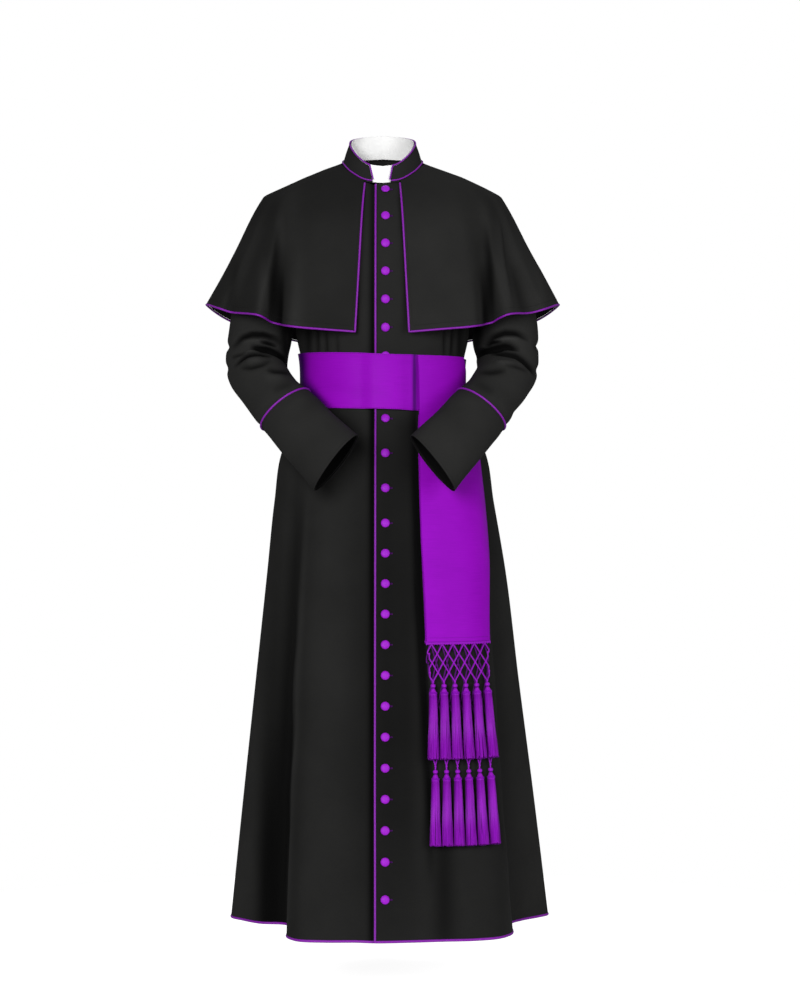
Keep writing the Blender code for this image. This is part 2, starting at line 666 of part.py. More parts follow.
CAPE_CLOTH = 0.0016
CAPE_LIFT = 0.0031       # of the cape's outer surface over the body at the collar's seam
mirror_row = CAPE_GORES[-2]
gore_values = smooth_curve(
    [gore.place for gore in CAPE_GORES] + [2.0 - mirror_row.place],
    [gore[2:] for gore in CAPE_GORES]
    + [(360.0 - mirror_row.neck_deg, -mirror_row.bend_x) + mirror_row[4:6]
       + (-mirror_row.hem_x,) + mirror_row[7:]])


def cape_line(place):
    """The curve down the cape at a place, from 0 at its front edge to 1 at the centre back."""
    deg, bend_x, bend_y, bend_z, hem_x, hem_y, hem_z = gore_values(place)
    if deg <= 90.0:
        neck_place = NECK_SIDE_FRONT * deg / 90.0
    else:
        neck_place = lerp(NECK_SIDE_BACK, 1.0, min(deg - 90.0, 90.0) / 90.0)
    neck = body_top(neck_place) + CAPE_LIFT * body_normal(neck_place, 0.0)
    bend = np.array((bend_x, bend_y, bend_z))
    hem = np.array((hem_x, hem_y, hem_z))
    bulge = np.array((0.0, -0.009 * math.cos(math.radians(deg)), 0.005))
    knots = (0.0, 0.5 * CAPE_BEND, CAPE_BEND, 0.5 * (1.0 + CAPE_BEND), 1.0)
    points = np.array((neck, 0.5 * (neck + bend) + bulge, bend, 0.5 * (bend + hem), hem))
    smooth = smooth_curve(knots, points)
    corner = SHOULDER_CORNER * smoothstep(1.7 - abs(place - SIDE_SEAM) / SHOULDER_SPREAD)

    def at(down):
        straight = np.array([np.interp(down, knots, points[:, k]) for k in range(3)])
        return lerp(smooth(down), straight, corner)

    return at


def cape_point(place, down):
    """Outer surface of the cape; a negative place is on the wearer's right."""
    side = math.copysign(1.0, place)
    return cape_line(abs(place))(down) * np.array((side, 1.0, 1.0))


def cape_normal(place, down):
    step = 0.006
    p = abs(place)
    ahead, behind = cape_line(min(p + step, 1.0 + step)), cape_line(max(p - step, 0.0))
    across = ahead(down) - behind(down)
    line = cape_line(p)
    along = line(min(down + step, 1.0)) - line(max(down - step, 0.0))
    return unit(np.cross(along, across)) * np.array((math.copysign(1.0, place), 1.0, 1.0))


CAPE_ROWS = (0.0, 0.15, 0.28, 0.40, 0.50, 0.62, 0.80, 1.0)
CAPE_PLACES = (0.0, 0.05, 0.10, 0.145, 0.19, 0.22, 0.25, 0.28, 0.31, 0.34, 0.37, 0.405, 0.44, 0.48,
               0.52, 0.56, 0.60, 0.64, 0.68, 0.72, 0.76, 0.80, 0.84, 0.88, 0.92, 0.96)
all_cape_places = tuple(-p for p in CAPE_PLACES) + (1.0,) + tuple(reversed(CAPE_PLACES))


def build_cape(material):
    outer, inner = [], []
    for down in CAPE_ROWS:
        row = [(cape_point(place, down), cape_normal(place, down)) for place in all_cape_places]
        outer.append([point for point, normal in row])
        inner.append([point - CAPE_CLOTH * normal for point, normal in row])
    return cloth_wall("cape", outer, inner, material)


def build_cape_piping(material):
    """One cord runs down both front edges of the cape and along its hem."""
    middle = 0.5 * CAPE_CLOTH
    out = PIPING_RADIUS + SEAM_GAP

    def beside(place, down):
        side = math.copysign(1.0, place)
        outward = unit(cape_point(place, down) - cape_point(place + side * 0.02, down))
        return cape_point(place, down) - middle * cape_normal(place, down) + out * outward

    def below(place):
        outward = unit(cape_point(place, 1.0) - cape_point(place, 0.97))
        return cape_point(place, 1.0) - middle * cape_normal(place, 1.0) + out * outward

    edge_rows = [down for down in CAPE_ROWS if 0.05 < down < 0.97]
    corner_drop = np.array((0.0, 0.0, -out))
    right_edge = [beside(-1e-6, down) for down in edge_rows]
    left_edge = [beside(1e-6, down) for down in reversed(edge_rows)]
    hem = [below(place) for place in all_cape_places[1:-1]]
    right_corner = beside(-1e-6, 1.0) + corner_drop
    left_corner = beside(1e-6, 1.0) + corner_drop
    points = right_edge + [right_corner] + hem + [left_corner] + left_edge
    return tube("piping_cape", points, PIPING_RADIUS, material)


def sash_point(place, height, lift):
    """The sash band round the waist; height is 0 at its top edge and 1 at its foot."""
    z = lerp(SASH_TOP_Z, SASH_FOOT_Z, height)
    x = body_section(place, z)[0]
    z = z - SASH_DROP * x
    down = 1.0 + (CHEST_Z - z) / (CHEST_Z - HEM_Z)
    point = body_section(place, z)
    over = SASH_OVER_BUTTONS * smoothstep(1.6 - abs(x - BUTTON_X) / 0.030) if point[1] < 0.0 else 0.0
    return point + (SASH_CLEAR + over + lift) * body_normal(place, down)


SASH_COLUMNS = 44


def build_sash_band(material):
    places = [-1.0 + 2.0 * (c + 0.5) / SASH_COLUMNS for c in range(SASH_COLUMNS)]
    heights = (0.0, 0.35, 0.7, 1.0)
    outer = [[sash_point(place, h, SATIN) for place in places] for h in heights]
    inner = [[sash_point(place, h, 0.0) for place in places] for h in heights]
    return cloth_wall("sash_band", outer, inner, material, closed=True)


fall_edges = smooth_curve([-edge.z for edge in FALL_EDGES],
                          [(edge.left, edge.right) for edge in FALL_EDGES])


def fall_point(fall, share, z, lift):
    """A point of a sash fall or its fringe, at a share of its width from its left edge."""
    left, right = fall_edges(-z)
    shift = fall.shift * smoothstep((fall.foot_z - z) / fall.net_height)
    here = on_front(lerp(left, right, share) + shift, z)
    middle = on_front(0.5 * (left + right) + shift, z)
    hanging = smoothstep((WRAP_FOOT_Z - z) / WRAP_RUN)
    outward = unit(lerp(body_normal(*here), body_normal(*middle), hanging))
    return body_point(*here) + lift * outward


def build_fall(fall, material):
    shares = [c / 6 for c in range(7)]
    heights = [fall.top_z] + [level.z for level in LEVELS if fall.foot_z < level.z < fall.top_z]
    heights.append(fall.foot_z)
    outer, inner = [], []
    for z in heights:
        lift = lerp(fall.top_lift, fall.lift, smoothstep((fall.top_z - z) / LIFT_RUN))
        outer.append([fall_point(fall, share, z, lift) for share in shares])
        inner.append([fall_point(fall, share, z, lift - SATIN) for share in shares])
    return cloth_wall("fall_" + fall.name, outer, inner, material)


def net_cell(fall):
    """A net's half pitch and row height, and the half height and half width of its knots."""
    left, right = fall_edges(-fall.foot_z)
    half_pitch = 0.5 * (right - left) / TASSELS_PER_FALL
    row = fall.net_height / fall.net_rows
    cord = math.hypot(half_pitch, row)
    return half_pitch, row, 0.5 * NET_CORD * cord / half_pitch, 0.5 * NET_CORD * cord / row


def net_pattern(fall):
    """Knots and crossing cords of a net under its header, as flat points and faces."""
    half_pitch, row, tall, wide = net_cell(fall)
    rows = fall.net_rows
    points, faces, knots = [], [], {}

    def add(x, drop):
        points.append((x, drop))
        return len(points) - 1

    for j in range(rows + 1):
        for k in range(2 * TASSELS_PER_FALL + 1):
            if (j + k) % 2 == (1 + rows) % 2:
                x, drop = k * half_pitch, j * row
                knots[k, j] = {"left": add(x - wide, drop), "right": add(x + wide, drop),
                               "down": add(x, drop + tall)}
                if j:
                    knots[k, j]["up"] = add(x, drop - tall)
    for (k, j), knot in knots.items():
        if j:
            faces.append((knot["up"], knot["left"], knot["down"], knot["right"]))
        else:
            faces.append((knot["left"], knot["down"], knot["right"]))
        after = knots.get((k + 1, j + 1))
        if after:
            faces.append((knot["right"], knot["down"], after["left"], after["up"]))
        before = knots.get((k - 1, j + 1))
        if before:
            faces.append((knot["down"], knot["left"], before["up"], before["right"]))
    foot_line = sorted((points[knot[end]][0], knot[end])
                       for (k, j), knot in knots.items() if j == 0 for end in ("left", "right"))
    head_line = [add(x, -NET_HEADER) for x, _ in foot_line]
    for i in range(len(foot_line) - 1):
        faces.append((head_line[i], foot_line[i][1], foot_line[i + 1][1], head_line[i + 1]))
    return points, faces


def build_net(fall, material):
    """The fringe's knotted net: one body of crossing cords under a narrow header."""
    top_z = fall.foot_z - SEAM_GAP - NET_HEADER
    points, faces = net_pattern(fall)
    width = 2.0 * TASSELS_PER_FALL * net_cell(fall)[0]
    vertices = []
    for depth in (0.0, NET_THICKNESS):
        for x, drop in points:
            lift = lerp(fall.lift, fall.fringe_lift, (max(drop, 0.0) / fall.net_height) ** 2)
            vertices.append(fall_point(fall, x / width, top_z - drop, lift - depth))
    count = len(points)
    solid_faces = list(faces) + [tuple(count + i for i in reversed(face)) for face in faces]
    edges = {}
    for face in faces:
        for a, b in zip(face, face[1:] + face[:1]):
            edges[frozenset((a, b))] = None if frozenset((a, b)) in edges else (a, b)
    for edge in edges.values():
        if edge:
            a, b = edge
            solid_faces.append((b, a, count + a, count + b))
    return add_object("net_" + fall.name, vertices, solid_faces, material, smooth=False)


def build_tassel(fall, index, material):
    """A tassel: a bound head with its strands growing from the head's foot."""
    share = (index + 0.5) / TASSELS_PER_FALL
    knot_tip = net_cell(fall)[2]
    top_z = fall.foot_z - 2.0 * SEAM_GAP - NET_HEADER - fall.net_height - knot_tip
    foot_z = top_z - TASSEL_LENGTH
    top_radius = TASSEL_HEAD[-1].radius
    foot_radius = top_radius * FOOT_SPREAD
    top = fall_point(fall, share, top_z, fall.fringe_lift - 0.5 * NET_THICKNESS)
    foot_share = 0.5 + TASSEL_FAN * (share - 0.5)
    foot_lift = fall.fringe_lift - 0.5 * NET_THICKNESS + foot_radius
    foot = fall_point(fall, foot_share, foot_z, foot_lift)
    along = unit(foot - top)
    side_way = unit(np.cross(along, np.array((0.0, 1.0, 0.0))))
    front_way = np.cross(side_way, along)
    length = np.linalg.norm(foot - top)
    vertices, faces = [], []

    def add(a, b, drop):
        vertices.append(top + a * side_way + b * front_way + drop * along)
        return len(vertices) - 1

    def ring_at(radius, drop):
        turns = [2.0 * math.pi * k / TASSEL_SIDES for k in range(TASSEL_SIDES)]
        return [add(radius * math.cos(t), radius * math.sin(t), drop) for t in turns]

    rings = [ring_at(bead.radius, bead.drop) for bead in TASSEL_HEAD]
    for upper, lower in zip(rings, rings[1:]):
        for k in range(TASSEL_SIDES):
            n = (k + 1) % TASSEL_SIDES
            faces.append((upper[k], upper[n], lower[n], lower[k]))
    faces.append(tuple(reversed(rings[0])))
    head_foot = TASSEL_HEAD[-1].drop
    outer = rings[-1]
    core = ring_at(0.5 * top_radius, head_foot)
    middle = add(0.0, 0.0, head_foot)
    cells = [(outer[k], outer[(k + 1) % 6], core[(k + 1) % 6], core[k]) for k in range(6)]
    cells += [(middle, core[k], core[k + 1], core[(k + 2) % 6]) for k in (0, 2, 4)]
    for cell in cells:
        corners = [vertices[i] for i in cell]
        heart = sum(corners) / 4.0
        offset = heart - (top + head_foot * along)
        foot_heart = top + FOOT_SPREAD * offset + length * along
        root = []
        end = []
        for corner in corners:
            vertices.append(heart + STRAND_SHARE * (corner - heart))
            root.append(len(vertices) - 1)
        for corner in corners:
            vertices.append(foot_heart + STRAND_SHARE * FOOT_SPREAD * 0.8 * (corner - heart))
            end.append(len(vertices) - 1)
        for k in range(4):
            n = (k + 1) % 4
            faces.append((cell[k], cell[n], root[n], root[k]))
            faces.append((root[k], root[n], end[n], end[k]))
        faces.append(tuple(end))
    return add_object("tassel_%s_%d" % (fall.name, index + 1), vertices, faces, material, smooth=False)


def build_button(index, z, material):
    """A small covered button: a low dome whose foot stands on the left front's cloth."""
    down = down_at_z(BUTTON_X, z)
    row = int(np.searchsorted(BODY_ROWS, down)) - 1
    upper, lower = (body_point(place_at_x(BUTTON_X, r), r) for r in BODY_ROWS[row:row + 2])
    out = body_normal(place_at_x(BUTTON_X, down), down)
    centre = lerp(upper, lower, (z - upper[2]) / (lower[2] - upper[2])) + SEAM_GAP * out
    side_way = unit(np.cross(out, np.array((0.0, 0.0, 1.0))))
    up_way = np.cross(side_way, out)
    outline = ((0.45, 0.0), (1.0, 0.40), (0.55, 1.0))
    sides = 8
    vertices, faces = [], []
    for wide, high in outline:
        for k in range(sides):
            turn = 2.0 * math.pi * (k + 0.5) / sides
            around = math.cos(turn) * side_way + math.sin(turn) * up_way
            vertices.append(centre + wide * BUTTON_RADIUS * around + high * BUTTON_HEIGHT * out)
    for r in range(len(outline) - 1):
        for k in range(sides):
            n = (k + 1) % sides
            faces.append((r * sides + k, r * sides + n, (r + 1) * sides + n, (r + 1) * sides + k))
    faces.append(tuple(range(sides)))
    faces.append(tuple(range((len(outline) - 1) * sides, len(outline) * sides)))
    return add_object("button_%02d" % index, vertices, faces, material)


def build_front_piping(material):
    """The cord along the edge of the left front, from the collar to the hem."""
    out = PIPING_RADIUS + SEAM_GAP
    points = []
    for down in (0.03,) + BODY_ROWS[1:]:
        place = place_at_x(FRONT_EDGE_X - out, down)
        points.append(body_point(place, down) + 0.0004 * body_normal(place, down))
    return tube("piping_front", points, PIPING_RADIUS, material)


def build_hem_piping(material):
    """The cord round the hem, from the left front's edge round the back to the right front."""
    drop = np.array((0.0, 0.0, -PIPING_RADIUS - SEAM_GAP))
    left = [place_at_x(x, 2.0) for x in reversed(UNDERLAP_COLUMNS)] + list(FRONT_PLACES)
    left.append(SIDE_SEAM)
    right = [place_at_x(x, 2.0) for x in (-0.0200, -0.0380)]
    right += [-p for p in FRONT_PLACES] + [-SIDE_SEAM]
    around = left + list(BACK_PLACES) + [1.0] + [-p for p in reversed(BACK_PLACES)]
    points = []
    for place in around + list(reversed(right)):
        middle = body_point(place, 2.0) - 0.5 * CLOTH * body_normal(place, 2.0)
        points.append(middle + drop)
    return tube("piping_hem", points, PIPING_RADIUS, material)


def main():
    for piece in list(bpy.data.objects):
        bpy.data.objects.remove(piece, do_unlink=True)
    wool = cloth_colour("black_wool", (0.016, 0.016, 0.016), 0.88)
    satin = cloth_colour("purple_satin", (0.28, 0.012, 0.50), 0.55)
    cord = cloth_colour("purple_cord", (0.26, 0.018, 0.44), 0.60)
    thread = cloth_colour("purple_thread", (0.24, 0.012, 0.42), 0.65)
    covered = cloth_colour("purple_button", (0.40, 0.025, 0.66), 0.50)
    white = cloth_colour("white_collar", (0.90, 0.90, 0.90), 0.45)
    build_front_left(wool)
    build_front_right(wool)
    build_back(wool)
    for name, side in SIDES:
        build_sleeve(name, side, wool)
        build_cuff(name, side, wool)
        build_cuff_piping(name, side, cord)
    build_collar(wool)
    build_collar_insert(white)
    build_collar_pipings(cord)
    build_cape(wool)
    build_cape_piping(cord)
    build_front_piping(cord)
    build_hem_piping(cord)
    build_sash_band(satin)
    for fall in FALLS:
        build_fall(fall, satin)
        build_net(fall, thread)
        for index in range(TASSELS_PER_FALL):
            build_tassel(fall, index, thread)
    index = 0
    for run in BUTTON_RUNS:
        for step in range(run.count):
            index += 1
            build_button(index, run.first_z - run.pitch * step, covered)


main()
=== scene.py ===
"""Looks of the cassock: fine cloth shells on the CAD's forms, with folds, seams, stitches,
cords, fringe and buttons. Metres, in the CAD's frame: the wearer faces -Y, their left is +X."""
import math
from collections import namedtuple

import bmesh
import bpy
import numpy as np
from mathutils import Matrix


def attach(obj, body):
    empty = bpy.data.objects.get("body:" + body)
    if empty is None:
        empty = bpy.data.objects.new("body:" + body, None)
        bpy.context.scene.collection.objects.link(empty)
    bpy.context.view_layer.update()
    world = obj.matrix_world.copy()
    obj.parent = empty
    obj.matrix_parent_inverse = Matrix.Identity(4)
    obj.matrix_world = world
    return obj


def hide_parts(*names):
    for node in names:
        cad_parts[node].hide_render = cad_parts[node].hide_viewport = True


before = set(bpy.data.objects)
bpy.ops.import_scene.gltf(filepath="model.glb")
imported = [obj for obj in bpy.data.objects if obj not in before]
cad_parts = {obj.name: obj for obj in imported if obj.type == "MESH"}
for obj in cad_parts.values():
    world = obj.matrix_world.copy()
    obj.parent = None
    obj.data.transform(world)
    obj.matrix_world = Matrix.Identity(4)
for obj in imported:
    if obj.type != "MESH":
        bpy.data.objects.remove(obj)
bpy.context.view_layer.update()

def table(columns, *rows):
    """Rows of values with named columns."""
    row_kind = namedtuple("Row", columns)
    return [row_kind(*row) for row in rows]


# ---------------------------------------------------------------- sizes shared with the CAD

SEAM_GAP = 0.0003
CLOTH = 0.0018
CUFF_CLOTH = 0.0022
COLLAR_CLOTH = 0.002
CAPE_CLOTH = 0.0016
SATIN = 0.0022
PIPING_RADIUS = 0.0019
COLLAR_PIPING_RADIUS = 0.0014
UNDERLAP_X = 0.03
FRONT_EDGE_X = -0.011
BUTTON_X = 0.006
BUTTON_RADIUS = 0.0082
BUTTON_HEIGHT = 0.0056
CHEST_Z = -0.245
HEM_Z = -1.425
FOLD_TOP_Z = -0.47          # where the skirt's folds begin
SIDE_SEAM = 0.52            # places round the body, from 0 at the front to 1 at the back
NECK_SIDE_FRONT = 0.2
SHOULDER_FRONT = 0.345
SHOULDER_BACK = 0.67
NECK_SIDE_BACK = 0.81

LEVELS = table(
    "name z right left front back",
    ("chest", -0.245, 0.169, 0.169, 0.138, 0.112),
    ("blouse", -0.335, 0.162, 0.162, 0.135, 0.109),
    ("sash top", -0.372, 0.154, 0.154, 0.127, 0.103),
    ("waist", -0.42, 0.152, 0.152, 0.125, 0.102),
    ("under sash", -0.456, 0.1525, 0.1525, 0.126, 0.103),
    ("sash foot", -0.476, 0.155, 0.1555, 0.129, 0.105),
    ("hip top", -0.508, 0.1765, 0.1785, 0.142, 0.117),
    ("hip", -0.547, 0.192, 0.1955, 0.152, 0.13),
    ("thigh", -0.637, 0.2055, 0.211, 0.168, 0.148),
    ("mid thigh", -0.768, 0.219, 0.2335, 0.19, 0.168),
    ("knee", -0.975, 0.241, 0.259, 0.225, 0.2),
    ("calf", -1.182, 0.263, 0.286, 0.26, 0.231),
    ("hem", -1.425, 0.288, 0.316, 0.3, 0.264),
)

BEARINGS = table(
    "place right_deg left_deg",
    (0.0, 0.0, 0.0),
    (0.1, 16.0, 20.0),
    (0.2, 32.0, 38.0),
    (0.28, 46.0, 55.0),
    (0.345, 60.0, 66.0),
    (0.52, 90.0, 90.0),
    (0.67, 119.0, 119.0),
    (0.81, 146.0, 146.0),
    (1.0, 180.0, 180.0),
)

HEM_FOLDS = table(
    "name place right_x right_y left_x left_y",
    ("centre front", 0.0, 0.0, -0.985, 0.0, -0.985),
    ("beside the closing", 0.07, 0.16, -0.96, 0.33, -0.93),
    ("front panel", 0.14, 0.35, -0.96, 0.52, -0.9),
    ("panel edge", 0.25, 0.56, -0.875, 0.715, -0.76),
    ("panel turn", 0.29, 0.597, -0.765, 0.757, -0.64),
    ("side fold", 0.345, 0.612, -0.33, 0.752, -0.3),
    ("gore start", 0.395, 0.79, -0.265, 0.83, -0.145),
    ("gore", 0.45, 0.92, -0.13, 0.945, 0.0),
    ("side", 0.52, 1.0, 0.01, 1.0, 0.12),
    ("back gore", 0.6, 0.935, 0.36, 0.935, 0.36),
    ("outer pleat", 0.67, 0.78, 0.67, 0.78, 0.67),
    ("outer hollow", 0.74, 0.61, 0.65, 0.61, 0.65),
    ("inner pleat", 0.81, 0.44, 0.9, 0.44, 0.9),
    ("inner hollow", 0.89, 0.23, 0.83, 0.23, 0.83),
    ("centre back", 1.0, 0.0, 0.985, 0.0, 0.985),
)

NECK_STOPS = table(
    "deg seam_z top_z",
    (0.0, -0.044, -0.013),
    (25.0, -0.04, -0.008),
    (50.0, -0.024, 0.01),
    (75.0, -0.006, 0.03),
    (90.0, 0.0, 0.039),
    (135.0, 0.011, 0.053),
    (180.0, 0.016, 0.059),
)
SEAM_HALF_WIDTH, SEAM_FRONT, SEAM_BACK = 0.0755, 0.075, 0.0625
TOP_HALF_WIDTH, TOP_FRONT, TOP_BACK = 0.063, 0.069, 0.051

SHOULDER_TIP = (0.2, 0.004, -0.054)
SHOULDER_NORMAL = np.array((0.3987, 0.0, 0.9171))
ARMHOLE_OUTWARD = np.array((0.984, 0.0, -0.178))
ARMHOLE = table(
    "place x y z",
    (SHOULDER_FRONT, *SHOULDER_TIP),
    (0.41, 0.187, -0.034, -0.115),
    (0.46, 0.177, -0.037, -0.175),
    (0.52, 0.168, 0.002, -0.231),
    (0.58, 0.177, 0.04, -0.175),
    (0.63, 0.187, 0.04, -0.115),
    (SHOULDER_BACK, *SHOULDER_TIP),
)

SLEEVE_RINGS = table(
    "name outer_x outer_z inner_x inner_z y depth",
    ("cap", 0.225, -0.072, 0.1725, -0.2395, 0.0, 0.048),
    ("upper arm", 0.242, -0.107, 0.172, -0.26, 0.001, 0.054),
    ("upper arm 2", 0.258, -0.155, 0.1725, -0.282, 0.002, 0.056),
    ("upper arm 3", 0.276, -0.22, 0.173, -0.308, 0.004, 0.057),
    ("upper arm 4", 0.289, -0.285, 0.1735, -0.335, 0.006, 0.059),
    ("above elbow", 0.2975, -0.345, 0.178, -0.36, 0.004, 0.06),
    ("elbow", 0.295, -0.392, 0.1795, -0.383, -0.012, 0.059),
    ("below elbow", 0.28, -0.429, 0.175, -0.398, -0.045, 0.055),
    ("forearm", 0.251, -0.469, 0.161, -0.415, -0.086, 0.052),
    ("forearm 2", 0.225, -0.505, 0.139, -0.434, -0.126, 0.051),
    ("wrist", 0.179, -0.563, 0.097, -0.478, -0.191, 0.052),
    ("mouth", 0.131, -0.62, 0.052, -0.519, -0.24, 0.056),
)
CUFF_START = 10.0           # rings of the sleeve, from 0 at the armhole
CUFF_END = 12.0
SLEEVE_END = 11.97
MOUTH_SLANT = 0.75          # how far a ring at the mouth turns to face the front
RIGHT_CUFF_SHIFT = 0.009

CAPE_GORES = table(
    "name place neck_deg bend_x bend_y bend_z hem_x hem_y hem_z",
    ("front edge", 0.0, 27.0, 0.0405, -0.121, -0.118, 0.052, -0.15, -0.3235),
    ("front", 0.1, 42.0, 0.086, -0.123, -0.1, 0.112, -0.154, -0.319),
    ("front side", 0.19, 56.0, 0.14, -0.109, -0.08, 0.172, -0.15, -0.3135),
    ("fold hollow", 0.25, 65.0, 0.169, -0.088, -0.072, 0.201, -0.095, -0.304),
    ("fold ridge", 0.31, 71.0, 0.185, -0.072, -0.067, 0.233, -0.122, -0.2905),
    ("hollow", 0.37, 77.0, 0.1975, -0.05, -0.066, 0.278, -0.072, -0.283),
    ("flute", 0.44, 84.0, 0.215, -0.028, -0.063, 0.306, -0.065, -0.275),
    ("side", 0.52, 92.0, 0.2245, 0.004, -0.06, 0.3345, 0.004, -0.2635),
    ("back side", 0.6, 102.0, 0.206, 0.045, -0.064, 0.303, 0.09, -0.284),
    ("back flute", 0.68, 115.0, 0.172, 0.078, -0.066, 0.24, 0.14, -0.308),
    ("back hollow", 0.76, 130.0, 0.132, 0.092, -0.064, 0.178, 0.134, -0.322),
    ("back ridge", 0.84, 146.0, 0.093, 0.101, -0.06, 0.122, 0.17, -0.331),
    ("inner hollow", 0.92, 163.0, 0.046, 0.104, -0.055, 0.058, 0.156, -0.337),
    ("centre back", 1.0, 180.0, 0.0, 0.105, -0.052, 0.0, 0.176, -0.34),
)
CAPE_BEND = 0.4             # share of the way down the cape where it bends over the shoulder
SHOULDER_CORNER = 0.75      # how sharp the bend is at the shoulder's point
SHOULDER_SPREAD = 0.07
CAPE_LIFT = 0.0031          # from the robe's neckline up to the cape's outer surface

SASH_TOP_Z = -0.364
SASH_FOOT_Z = -0.469
SASH_DROP = 0.035
SASH_CLEAR = 0.0026
SASH_OVER_BUTTONS = 0.005

FALL_EDGES = table(
    "z left right",
    (-0.364, 0.063, 0.146),
    (-0.469, 0.0645, 0.15),
    (-0.53, 0.0655, 0.166),
    (-0.61, 0.067, 0.1765),
    (-0.897, 0.0765, 0.1945),
    (-0.985, 0.078, 0.198),
    (-1.26, 0.082, 0.203),
)
FALLS = table(
    "name top_z foot_z shift top_lift lift fringe_lift net_height net_rows",
    ("front", -0.366, -0.897, 0.0, 0.0084, 0.012, 0.0162, 0.068, 4),
    ("rear", -0.482, -0.893, 0.004, 0.0095, 0.0062, 0.0102, 0.2225, 6),
)
LIFT_RUN = 0.03             # how far down a fall takes to come to its full lift
WRAP_FOOT_Z = -0.7          # down to here a fall follows the body's turn
WRAP_RUN = 0.2
TASSELS_PER_FALL = 6
NET_THICKNESS = 0.0022
NET_CORD = 0.0026
NET_HEADER = 0.0045
TASSEL_LENGTH = 0.1365
TASSEL_TOP_RADIUS = 0.0069
TASSEL_HEAD_LENGTH = 0.018
FOOT_SPREAD = 1.36
TASSEL_FAN = 1.08

NOTCH_FOOT = (-0.018, 0.015)
NOTCH_TOP = (-0.026, 0.021)
COLLAR_FOOT_GAP = 0.0008

BUTTON_RUNS = table(
    "name count first_z pitch",
    ("chest", 8, -0.057, 0.052),
    ("hip", 3, -0.486, 0.0643),
    ("skirt", 12, -0.679, 0.0553),
    ("last", 1, -1.3535, 0.0),
)
SIDES = (("right", -1.0), ("left", 1.0))


# ---------------------------------------------------------------- curves and forms, for arrays

def smoothstep(t):
    t = np.clip(t, 0.0, 1.0)
    return t * t * (3.0 - 2.0 * t)


def lerp(a, b, t):
    return a + (b - a) * t


def unit(v):
    return v / np.maximum(np.linalg.norm(v, axis=-1, keepdims=True), 1e-12)


def xyz(x, y, z):
    return np.stack(np.broadcast_arrays(x, y, z), axis=-1).astype(float)


def run_lengths(steps):
    """Distances along a line from its first point, from the length of each step."""
    return np.concatenate(((0.0,), np.cumsum(steps)))


def along_line(points):
    return run_lengths(np.linalg.norm(np.diff(points, axis=0), axis=1))


def points_at(at, along, points):
    """Points at some distances along a line whose own points lie at others."""
    return np.stack([np.interp(at, along, values) for values in points.T], axis=-1)


def last_where(holds, low, high):
    """The last value between two bounds for which something holds, by halving the range."""
    for _ in range(24):
        middle = 0.5 * (low + high)
        short = holds(middle)
        low, high = np.where(short, middle, low), np.where(short, high, middle)
    return 0.5 * (low + high)


def mirrored(points, place):
    """Points of the left half, taken across to the right where the place is negative."""
    return points * xyz(np.where(place >= 0.0, 1.0, -1.0), 1.0, 1.0)


def smooth_curve(knots, values):
    """A smooth curve through the values, one for each knot."""
    knots = np.array(knots, float)
    values = np.array(values, float)
    slopes = np.gradient(values, knots, axis=0)

    def at(t):
        t = np.asarray(t, float)
        i = np.clip(np.searchsorted(knots, t) - 1, 0, len(knots) - 2)
        span = knots[i + 1] - knots[i]
        s = np.clip((t - knots[i]) / span, 0.0, 1.0)
        if values.ndim > 1:
            span, s = span[..., None], s[..., None]
        a, b = values[i], values[i + 1]
        bend = s * (1.0 - s) * ((1.0 - s) * (slopes[i] * span - (b - a))
                                + s * ((b - a) - slopes[i + 1] * span))
        return a + (b - a) * s + bend

    return at


def round_trip(rows, right, left, odd):
    """A table from centre front to centre back as one closed curve round the body."""
    sign = -1.0 if odd else 1.0
    knots = [-row.place for row in reversed(rows)] + [row.place for row in rows[1:]]
    values = [sign * getattr(row, right) for row in reversed(rows)]
    values += [getattr(row, left) for row in rows[1:]]
    return smooth_curve(knots, values)


level_size = smooth_curve([-row.z for row in LEVELS], [row[2:] for row in LEVELS])
bearing_at = round_trip(BEARINGS, "right_deg", "left_deg", True)
hem_x_at = round_trip(HEM_FOLDS, "right_x", "left_x", True)
hem_y_at = round_trip(HEM_FOLDS, "right_y", "left_y", False)
neck_height = smooth_curve([stop.deg for stop in NECK_STOPS], [stop[1:] for stop in NECK_STOPS])
armhole_at = smooth_curve([hole.place for hole in ARMHOLE], [hole[1:] for hole in ARMHOLE])
ring_values = smooth_curve(range(1, len(SLEEVE_RINGS) + 1), [ring[1:] for ring in SLEEVE_RINGS])
fall_edges = smooth_curve([-edge.z for edge in FALL_EDGES], [edge[1:] for edge in FALL_EDGES])


def neck_point(deg, height, grow=0.0):
    """A point of the collar: height 0 at its seam, 1 at its top edge."""
    angle = np.radians(deg)
    half = lerp(SEAM_HALF_WIDTH, TOP_HALF_WIDTH, height) + grow
    front = lerp(SEAM_FRONT, TOP_FRONT, height) + grow
    back = lerp(SEAM_BACK, TOP_BACK, height) + grow
    seam_z, top_z = np.moveaxis(neck_height(np.abs(deg)), -1, 0)
    depth = np.where(np.cos(angle) > 0.0, front, back)
    return xyz(half * np.sin(angle), -depth * np.cos(angle), lerp(seam_z, top_z, height))


def body_section(place, z):
    """The body's outer surface at a place round it and a height below the chest."""
    place, z = np.broadcast_arrays(place, z)
    right, left, front, back = np.moveaxis(level_size(-z), -1, 0)
    angle = np.radians(bearing_at(place))
    fold = np.maximum((FOLD_TOP_Z - z) / (FOLD_TOP_Z - HEM_Z), 0.0) ** 0.75
    x = lerp(np.sin(angle), hem_x_at(place), fold)
    y = lerp(-np.cos(angle), hem_y_at(place), fold)
    return xyz(x * np.where(x > 0.0, left, right), y * np.where(y > 0.0, back, front), z)


